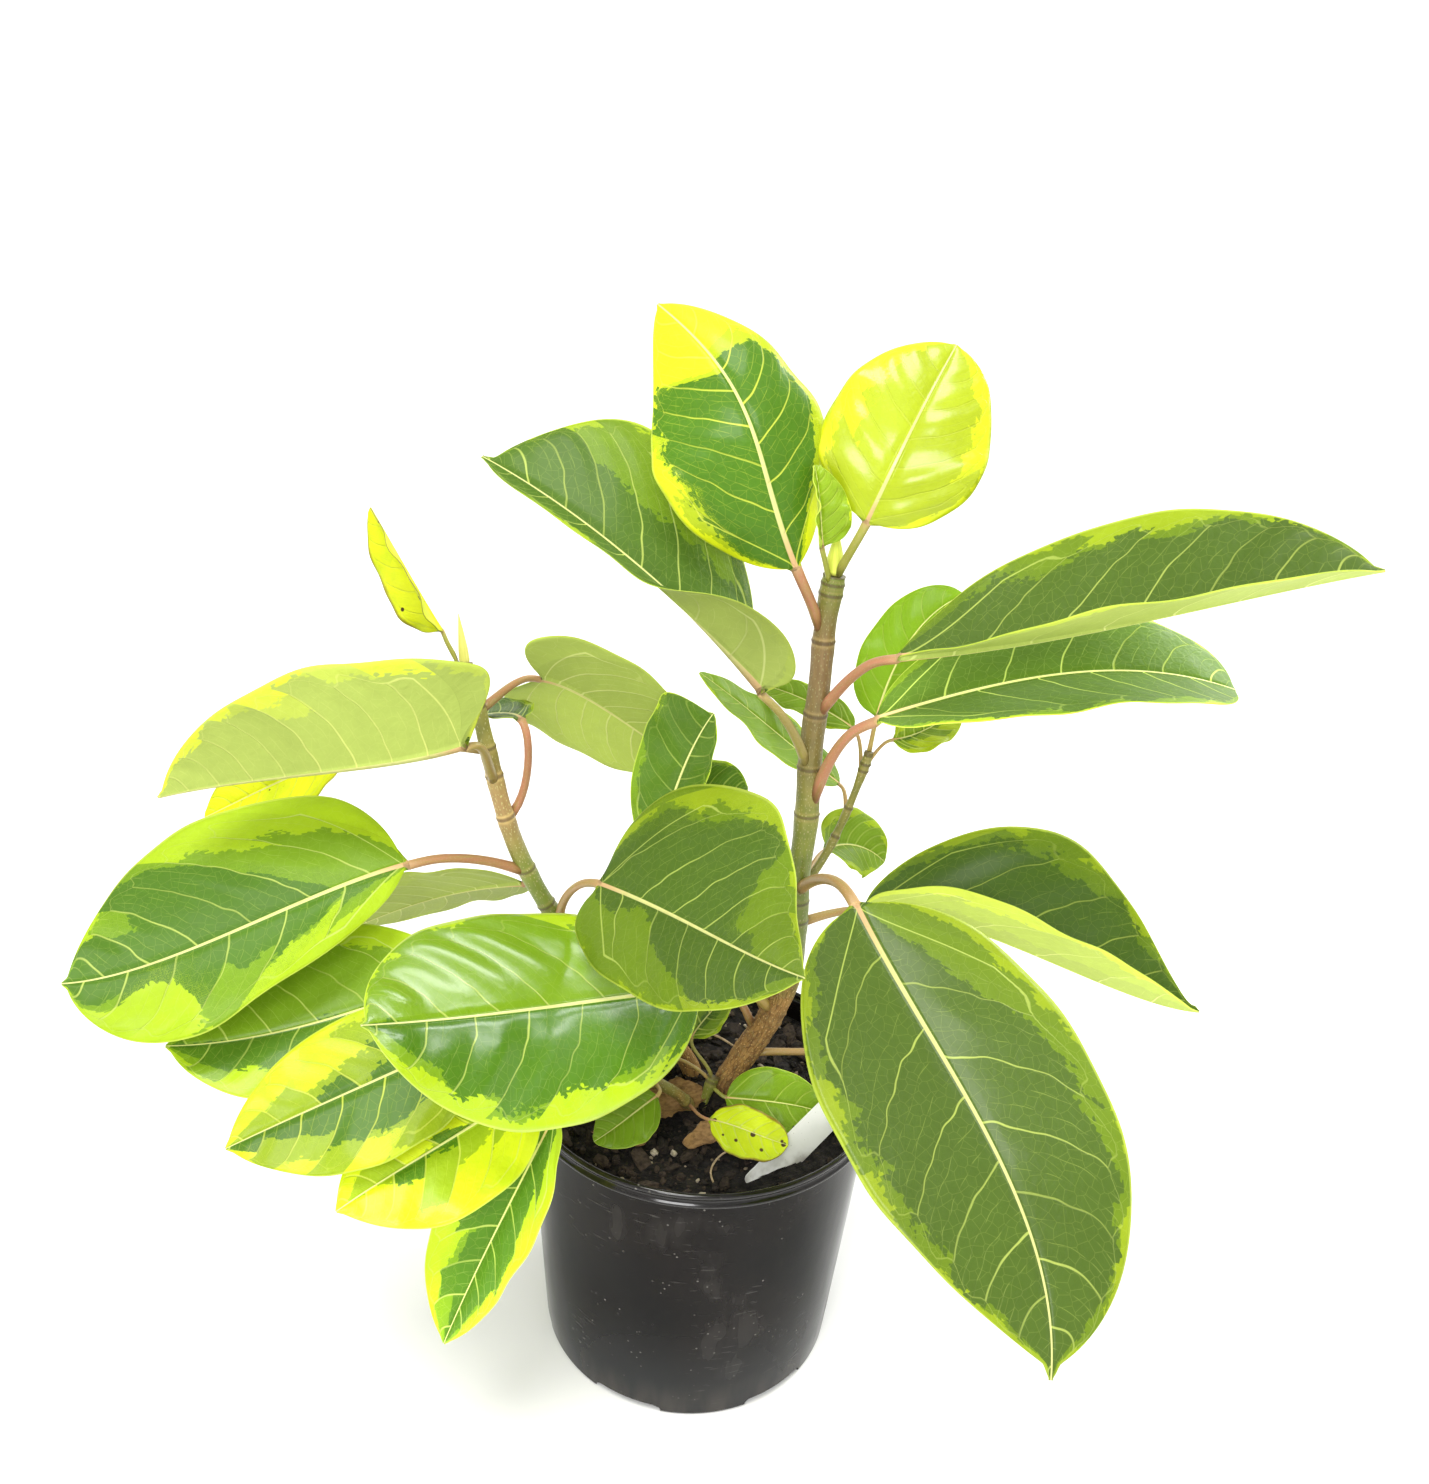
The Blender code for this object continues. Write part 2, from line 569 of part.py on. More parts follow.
def build_pot():
    top = POT_HEIGHT
    under = top - RIM_HEIGHT
    inner = RIM_RADIUS - RIM_ROUND - WALL
    profile = [(0, 0), (BODY_BASE_RADIUS - 1 * MM, 0), (BODY_BASE_RADIUS, 1 * MM)]
    profile += [(wall_radius(under), under), (RIM_RADIUS - 0.6 * MM, under + 0.4 * MM)]
    for k in range(5):
        x = math.pi * k / 4
        profile.append((RIM_RADIUS - RIM_ROUND * (1 - math.cos(x)), top - RIM_ROUND * (1 - math.sin(x))))
    profile[-1] = (inner, top - RIM_ROUND)
    profile += [(wall_radius(under) - WALL, under - 1 * MM)]
    profile += [(wall_radius(FLOOR_THICKNESS) - WALL, FLOOR_THICKNESS), (0, FLOOR_THICKNESS)]
    pot = lathe("pot", profile, POT_SIDES, (0.012, 0.012, 0.013), 0.3)
    for k in range(NOTCH_COUNT):
        x = math.radians(NOTCH_TURN + 360 * k / NOTCH_COUNT)
        out = np.array([math.cos(x), math.sin(x), 0])
        side = np.array([-math.sin(x), math.cos(x), 0])
        corner = out * (BODY_BASE_RADIUS - NOTCH_DEPTH) + side * NOTCH_WIDTH / 2
        corner = corner + np.array([0, 0, NOTCH_HEIGHT])
        size = (NOTCH_WIDTH, NOTCH_HEIGHT * 2, NOTCH_DEPTH * 3)
        cutter = plate("notch", corner, -side, (0, 0, -1), size, None, 0)
        fix_normals(cutter)
        combine(pot, cutter, "DIFFERENCE")
    return pot


def fix_normals(obj):
    """Turns the faces outward when a closed mesh measures a negative volume."""
    mesh = obj.data
    volume = 0.0
    for poly in mesh.polygons:
        p = [np.array(mesh.vertices[i].co) for i in poly.vertices]
        for a, b in zip(p[1:], p[2:]):
            volume += float(np.dot(p[0], np.cross(a, b)))
    if volume < 0:
        mesh.flip_normals()
        mesh.update()


def build_soil():
    """Soil with an uneven top and a plain hole for each stem and for the label."""
    bottom = FLOOR_THICKNESS + FIT_GAP
    low_radius = wall_radius(bottom) - WALL - FIT_GAP - 0.3 * MM
    top_radius = wall_radius(SOIL_LEVEL) - WALL - FIT_GAP - 0.3 * MM
    profile = [(0, bottom), (low_radius, bottom), (top_radius, SOIL_LEVEL)]
    for k in range(1, SOIL_RINGS):
        profile.append((top_radius * (1 - k / SOIL_RINGS), SOIL_LEVEL))
    profile.append((0, SOIL_LEVEL))
    soil = lathe("soil", profile, 36, (0.03, 0.02, 0.014), 0.95)
    for vert in soil.data.vertices:
        x, y, z = vert.co
        r = math.hypot(x, y) / top_radius
        if z > SOIL_LEVEL - 0.1 * MM and r < 0.99:
            wave = math.sin(x * 95 + 1.3) * math.cos(y * 80 - 0.4) + math.sin((x + y) * 47)
            vert.co.z = z + SOIL_BULGE * (0.35 * wave * (1 - r ** 4) - 0.3 * (1 - r ** 2))
    for name, rows in STEMS.items():
        x, y, _, radius = rows[0]
        height = SOIL_LEVEL / MM - HOLE_DEPTH / MM - 0.3
        path = np.array([(x, y, height), (x, y, height + HOLE_DEPTH / MM + 12)]) * MM
        cutter = tube("hole", path, [(max(r[3] for r in rows[:2]) + 0.45) * MM] * 2, 20, None, 0)
        combine(soil, cutter, "DIFFERENCE")
    return soil


def build_label():
    size = (LABEL_LENGTH, LABEL_WIDTH, LABEL_THICKNESS)
    corner = np.array(LABEL_CORNER) * MM
    label = plate("plant_label", corner, LABEL_ALONG, LABEL_DOWN, size, (0.8, 0.8, 0.78), 0.45)
    fix_normals(label)
    return label


def cut_label_slot(soil):
    along = unit(np.array(LABEL_ALONG, float))
    down = np.array(LABEL_DOWN, float)
    down = unit(down - along * (along @ down))
    gap = 0.35 * MM
    corner = np.array(LABEL_CORNER) * MM - along * gap - down * 12 * MM
    corner = corner - np.cross(along, down) * gap
    size = (LABEL_LENGTH + 2 * gap, LABEL_WIDTH + 12 * MM + gap, LABEL_THICKNESS + 2 * gap)
    cutter = plate("slot", corner, along, down, size, None, 0)
    fix_normals(cutter)
    combine(soil, cutter, "DIFFERENCE")


def build_stems():
    for name, rows in STEMS.items():
        rows = np.array(rows, float)
        count = max(8, int(len(rows) * 1.7))
        path = smooth_path(rows[1:], count)
        path = np.vstack([rows[0], path])
        brown = (0.16, 0.11, 0.05) if name != "small_shoot" else (0.25, 0.3, 0.1)
        stem = tube(name, path[:, :3] * MM, path[:, 3] * MM, STEM_SIDES, brown, 0.6)
        fix_normals(stem)
        if name == "main_stem":
            twig_path = smooth_path(BACK_TWIG, 9)
            twig = tube("twig", twig_path[:, :3] * MM, twig_path[:, 3] * MM, 8, None, 0)
            fix_normals(twig)
            combine(stem, twig, "UNION")


def build_buds():
    for name, (foot, tip, radius) in BUDS.items():
        foot, tip = np.array(foot) * MM, np.array(tip) * MM
        u = np.array([0, 0.12, 0.35, 0.6, 0.82, 1.0])
        path = foot + u[:, None] * (tip - foot)
        radii = radius * MM * np.array([0.75, 1.0, 0.95, 0.62, 0.3, 0.1])
        bud = tube(name, path, radii, 10, (0.45, 0.5, 0.12), 0.5)
        fix_normals(bud)


def build_leaves():
    for name, leaf in LEAVES.items():
        ends = np.array(leaf["midrib"], float)
        length = np.linalg.norm(ends[3] - ends[0])
        columns, rows, stalk = (-1, -0.55, -RIB, 0, RIB, 0.55, 1), 10, 5
        if length < LARGE_LEAF:
            rows, stalk = 8, 4
        if length < SMALL_LEAF:
            columns, rows, stalk = (-1, -RIB, 0, RIB, 1), 7, 4
        verts, tris = leaf_mesh(leaf, rows, columns, stalk)
        colour = (0.5, 0.6, 0.05) if "lime" in name or "yellow" in name else (0.12, 0.28, 0.05)
        obj = add_mesh(name, verts, tris, colour, 0.35)
        fix_normals(obj)


build_pot()
soil_fill = build_soil()
build_label()
cut_label_slot(soil_fill)
build_stems()
build_buds()
build_leaves()
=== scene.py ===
# The look of a potted variegated rubber plant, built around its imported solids.
# Metres, +Z up, origin on the floor under the middle of the pot, front toward -Y.

import math

import bpy
import numpy as np
from mathutils import Matrix, Vector, noise


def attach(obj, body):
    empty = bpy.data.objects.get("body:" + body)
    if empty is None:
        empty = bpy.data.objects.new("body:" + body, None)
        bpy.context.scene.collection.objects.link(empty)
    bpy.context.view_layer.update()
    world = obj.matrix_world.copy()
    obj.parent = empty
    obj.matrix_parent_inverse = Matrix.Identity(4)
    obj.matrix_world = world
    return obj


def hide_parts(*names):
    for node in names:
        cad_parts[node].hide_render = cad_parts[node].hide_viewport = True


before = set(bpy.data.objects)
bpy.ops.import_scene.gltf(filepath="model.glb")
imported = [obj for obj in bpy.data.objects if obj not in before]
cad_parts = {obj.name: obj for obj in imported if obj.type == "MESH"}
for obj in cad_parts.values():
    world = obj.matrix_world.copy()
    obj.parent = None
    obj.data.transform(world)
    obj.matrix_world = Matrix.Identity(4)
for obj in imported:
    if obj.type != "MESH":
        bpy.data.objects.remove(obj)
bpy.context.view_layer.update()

MM = 0.001

# Camera, from the picture's frame of 1429 by 1484 pixels.
PICTURE_HEIGHT = 1484
FOCAL_PIXELS = 1250
SENSOR = 36
CAMERA_PLACE = Vector((-0.0045, -0.576, 0.614))
CAMERA_DOWN = 23.0
CAMERA_ROLL = 3.7
LIGHT_BOUNCES = 3

# Studio
STUDIO_RADIUS = 2.6
STUDIO_HEIGHT = 2.1
STUDIO_BEND = 1.0
STUDIO_SIDES = 96
WORLD_STRENGTH = 0.73
SUN_STRENGTH = 2.35
SUN_SPREAD = 26
SUN_AIM = (-112, 72)
SUN_COLOUR = (1.0, 0.985, 0.95)
# Soft lamps: place in metres, size and power.
LAMPS = {"window": ((-0.25, -1.4, 1.2), 0.55, 14), "rim": ((0.95, 0.75, 1.2), 0.6, 13)}
LAMP_TARGET = (0, 0, 0.3)

# Pot, the same sizes as the solid, with the round details of its foot and rim
POT_HEIGHT = 170 * MM
BODY_BASE_RADIUS = 84.5 * MM
BODY_TOP_RADIUS = 97.0 * MM
RIM_RADIUS = 100 * MM
RIM_HEIGHT = 8 * MM
WALL = 2.2 * MM
FLOOR_THICKNESS = 3 * MM
POT_SIDES = 192
FOOT_HOLLOW = 0.6 * MM
FOOT_HOLLOW_RADIUS = 60 * MM
FOOT_RING_RADIUS = 66 * MM
FOOT_ROUND = 2.2 * MM
BEAD_ROUND = 0.8 * MM
RIM_ROUND = 1.2 * MM
ROLL_ROUND = 1.55 * MM
ROLL_INSET = 0.25 * MM
NOTCH_COUNT = 6
NOTCH_WIDTH = 40 * MM
NOTCH_HEIGHT = 5 * MM
NOTCH_DEPTH = 5 * MM
NOTCH_CORNER_RADIUS = 3 * MM
NOTCH_TURN = 9

# Soil
SOIL_LEVEL = 156 * MM
SOIL_DIP = 2.0 * MM
SOIL_SWELL = 1.6 * MM
SOIL_LUMP = 0.9 * MM
SOIL_MOUND = 3.0 * MM
MOUND_PLACE = 13 * MM
MOUND_RADIUS = 30 * MM
SOIL_RINGS = 74
SOIL_SIDES = 150
SKIRT_DEPTH = 14 * MM

# Loose lumps: how many, their size in mm, the least and the most width and then height for a length
# of 1, how round they are, the seed and how deep they lie.
LUMPS = {
    "soil_bark_chips": (330, 5.0, ((0.35, 0.7), (0.18, 0.4)), 0.75, 11, 0.2),
    "soil_crumbs": (900, 2.0, ((0.5, 0.9), (0.4, 0.8)), 0.8, 12, 0.35),
    "soil_grains": (150, 1.9, ((0.6, 0.9), (0.5, 0.8)), 0.95, 13, 0.3),
}

# Dead leaf scraps: a corner in mm, the ways of their length and width, both sizes and the rise in mm,
# how far the edges roll and the number that varies the outline.
SCRAPS = {
    "dead_leaf_wedge": ((-6, -52, 158.5), (0.75, 0.5, 0.10), (0.6, -0.8, 0), (36, 14, 1.5), 0.25, 1.0),
    "dead_leaf_curl": ((-34, -34, 158.5), (0.85, 0.5, 0.05), (-0.4, 0.9, 0.2), (42, 22, 4), 0.45, 2.2),
    "dead_leaf_side": ((-56, -44, 158.0), (0.9, -0.25, 0.02), (0.2, 0.9, 0.1), (30, 13, 1.5), 0.3, 3.1),
}
SCRAP_ROWS = 26
SCRAP_COLUMNS = 12
SCRAP_THICKNESS = 0.35 * MM

# Thin roots at the surface: their radius and points in mm, the last number over the soil.
ROOTS = {
    "surface_root": (0.55, ((12, -78, -1), (8, -66, 3.0), (14, -56, 5.0), (24, -52, 3.5), (33, -55, -1))),
    "surface_root_back": (0.7, ((-30, 40, -1), (-14, 48, 2.5), (6, 46, 3), (22, 38, -1))),
}

# Base colour of the litter, from dark to light, and its roughness.
LITTER = {
    "bark_chip_finish": ((0.010, 0.008, 0.007), (0.062, 0.043, 0.030), 0.85),
    "grain_finish": ((0.20, 0.15, 0.10), (0.52, 0.45, 0.35), 0.8),
    "dead_leaf_finish": ((0.17, 0.090, 0.038), (0.36, 0.205, 0.080), 0.6),
    "root_finish": ((0.30, 0.20, 0.11), (0.55, 0.42, 0.26), 0.7),
}

# Leaves
BLADE_THICKNESS = 0.6 * MM
# Columns over half of the midrib, and how far it reaches against its radius
RIB_COLUMNS = (0, 0.22, 0.45, 0.64, 0.82, 1.0)
RIB_REACH = 1.5
# How much further the side veins of each half lean toward the tip near the edge
VEIN_BEND = (0.36, 0.50)
# Shift of the right half's side veins, in spacings
RIGHT_PHASE = 0.42
STALK_STEPS = 200
# Rows and columns of each half and rings of the stalk, for leaves from a length in mm
LEAF_MESHES = ((120, (84, 17, 22)), (75, (64, 13, 16)), (0, (44, 9, 12)))
# Material slots of a leaf
TOP, UNDER, STALK = range(3)
# First seed of the shapes
LEAF_SEED = 900
# Length on the surface that is 1 in the patterns
TEXTURE_STEP = 10 * MM
# What sets the patterns of one leaf apart from those of the next, and the right half from the left
LUCK_STEP = 3.7
PATTERN_STEP = (17.0, 5.0)
STALK_PATTERN_STEP = 3
HALF_STEP = 40

# Stems: mm between rings, and the first seed
STEM_STEP = 1.3
STEM_SEED = 70
# Scars below the lowest leaf and above the topmost, in mm
EXTRA_SCARS = (16, 12)

# Stems. points: places in mm with the radius there, from the foot in the soil to the top. bark, warm
# and green: how woody, warm and green the skin is, from foot to top. The brightness factor, from foot
# to top: painted light and shade along the stem, darker where leaves shade it and lighter where light
# falls on it, together with some of the skin's own lightness. sides: columns round it. seed: draws
# its unevenness.
STEMS = {
    "main_stem": dict(
        points=((13, -2, 128, 6.5), (13, -2, 160, 6.6), (22, 0, 179, 6.9), (36, 1, 207, 6.7),
                (44, 0, 233, 6.3), (45, 0, 264, 6.0), (44, 0, 291, 6.0), (45, 0, 324, 6.1),
                (44, 0, 371, 5.9), (45, 0, 401, 5.6), (45, 0, 437, 5.2), (47, 0, 459, 4.9)),
        bark=(1.0, 1.0, 0.8, 0.35, 0.1, 0.1, 0.2, 0.2, 0.0),
        warm=(0.1, 0.1, 0.0, 0.0, 0.0, 0.0, 0.15, 0.5, 0.9, 0.0),
        bright=(1.0, 0.8, 0.75, 0.8, 0.75, 1.1, 0.8, 0.85, 1.0),
        green=(0.0, 0.0, 0.2, 0.5, 0.9, 0.7, 0.2, 0.0, 0.0, 0.9),
        sides=40, seed=0,
    ),
    "left_stem": dict(
        points=((-6, 12, 128, 5.6), (-6, 12, 160, 5.5), (-22, 18, 179, 5.3), (-45, 20, 202, 5.2),
                (-68, 18, 228, 5.0), (-89, 10, 263, 4.8), (-103, 5, 296, 4.6), (-111, 0, 325, 4.5),
                (-118, 0, 356, 4.1), (-124, 0, 384, 3.6), (-129, 0, 402, 3.2)),
        bark=(0.9, 0.6, 0.25, 0.05, 0.0, 0.1, 0.0),
        warm=(0.1, 0.0, 0.0, 0.0, 0.0, 0.05, 0.9, 0.25, 0.1),
        bright=(0.8, 0.8, 0.8, 0.8, 0.7, 1.2, 1.7, 1.5, 1.4),
        green=(0.0, 0.0, 0.2, 0.5, 0.9, 0.7, 0.0, 0.3, 0.3),
        sides=40, seed=1,
    ),
    "low_shoot": dict(
        points=((-5, -22, 128, 3.3), (-5, -22, 160, 3.2), (-12, -28, 173, 3.0), (-30, -39, 192, 2.9),
                (-50, -50, 211, 2.7), (-73, -58, 229, 2.5), (-96, -62, 247, 2.3)),
        bark=(0.5, 0.35, 0.25),
        warm=(0.2, 0.3, 0.3),
        bright=(0.9, 1.1),
        green=(0.4, 0.4),
        sides=24, seed=2,
    ),
    "small_shoot": dict(
        points=((3, -15, 128, 2.3), (3, -15, 160, 2.2), (5, -13, 167, 2.0), (7, -11, 173, 1.9)),
        bark=(0.2, 0.1),
        warm=(0.1, 0.1),
        bright=(1.0, 1.0),
        green=(0.6, 0.6),
        sides=24, seed=3,
    ),
    "back_twig": dict(
        points=((45, 2, 286, 2.3), (55, 12, 297, 2.2), (67, 20, 324, 2.0), (72, 20, 343, 1.9),
                (76, 20, 361, 1.8)),
        bark=(0.3, 0.1),
        warm=(0.2, 0.2),
        bright=(1.0, 1.0),
        green=(0.4, 0.4),
        sides=20, seed=9,
    ),
}

# Buds: foot and tip in mm, the widest radius and how warm the colour is.
BUDS = {
    "top_sheath": ((47, 0, 459.8), (46, -2, 482), 4.2, 0.15),
    "left_bud": ((-129.1, 0, 402.5), (-132, 1, 428), 2.4, 0.8),
}
BUD_RINGS = 40
BUD_SIDES = 24

# Label: the near end of its upper edge, the way that edge runs and the way down its face.
LABEL_CORNER = (25, -71, 157)
LABEL_ALONG = (36, 30, 24)
LABEL_DOWN = (0.3, -0.1, -0.95)
LABEL_LENGTH = 74 * MM
LABEL_WIDTH = 20 * MM
LABEL_THICKNESS = 0.8 * MM
LABEL_CORNER_RADIUS = 3.0 * MM

# What a leaf has unless its row says otherwise. fold and curl: degrees each half is raised, and bent
# further toward its edge, read from foot to tip. roll: degrees the blade turns round its midrib.
# peak: where it is widest. full: how blunt foot and tip are. lobe: mm that it runs back past its foot.
# dark and green: how far those greens reach from the midrib toward the edges, 1 at the edge, read from
# foot to tip. patch: how much the reach changes from one vein to the next. tone: 0 for dull old green
# to 1 for bright young green. yellow, pink, spots and gloss: shares from 0 to 1. veins: side veins of
# each half. quilt and wave: mm of swelling between veins and of waving at the edge. clear: how clearly
# the veins show. nib: share of the length that the drip tip takes, with half its width in mm. trim:
# each half's width against the solid's. slope: how far the side veins lean toward the tip. under:
# painted light and shade on the underside, lifting an underside that lies in shade and darkening one
# that faces the light. The brightness factor: painted light and shade on both sides, lifting leaves
# that lie in shade, together with some of the leaf's own lightness. A pair is for the left and right
# halves, seen from above with the tip ahead.
PLAIN_LEAF = dict(
    fold=(5, 5), curl=(0, 0), roll=0, peak=0.44, full=(0.62, 0.72), lobe=(0, 0),
    dark=(0.74, 0.74), green=(0.88, 0.88), patch=0.3, tone=0.4, yellow=0.1, pink=0.6, spots=0.0,
    gloss=0.45, veins=5.2, quilt=0.6, wave=1.2, clear=0.9, nib=0.02, nib_width=2.8, trim=((1.0,), (1.0,)),
    slope=(0.42, 0.42), under=1.0, bright=1.0,
)


def leaf(midrib, face, half, on, stalk, lift, **more):
    """A leaf's row. midrib: four points in mm from foot to tip. face: compass and height in degrees
    of the way the upper side looks. half: widths of the halves in mm. on: the stem and the height in
    mm of the joint. stalk: its radius in mm. lift: how steeply it leaves the stem."""
    own = dict(midrib=midrib, face=face, half=half, on=on, stalk=stalk, lift=lift)
    return {**PLAIN_LEAF, **own, **more}


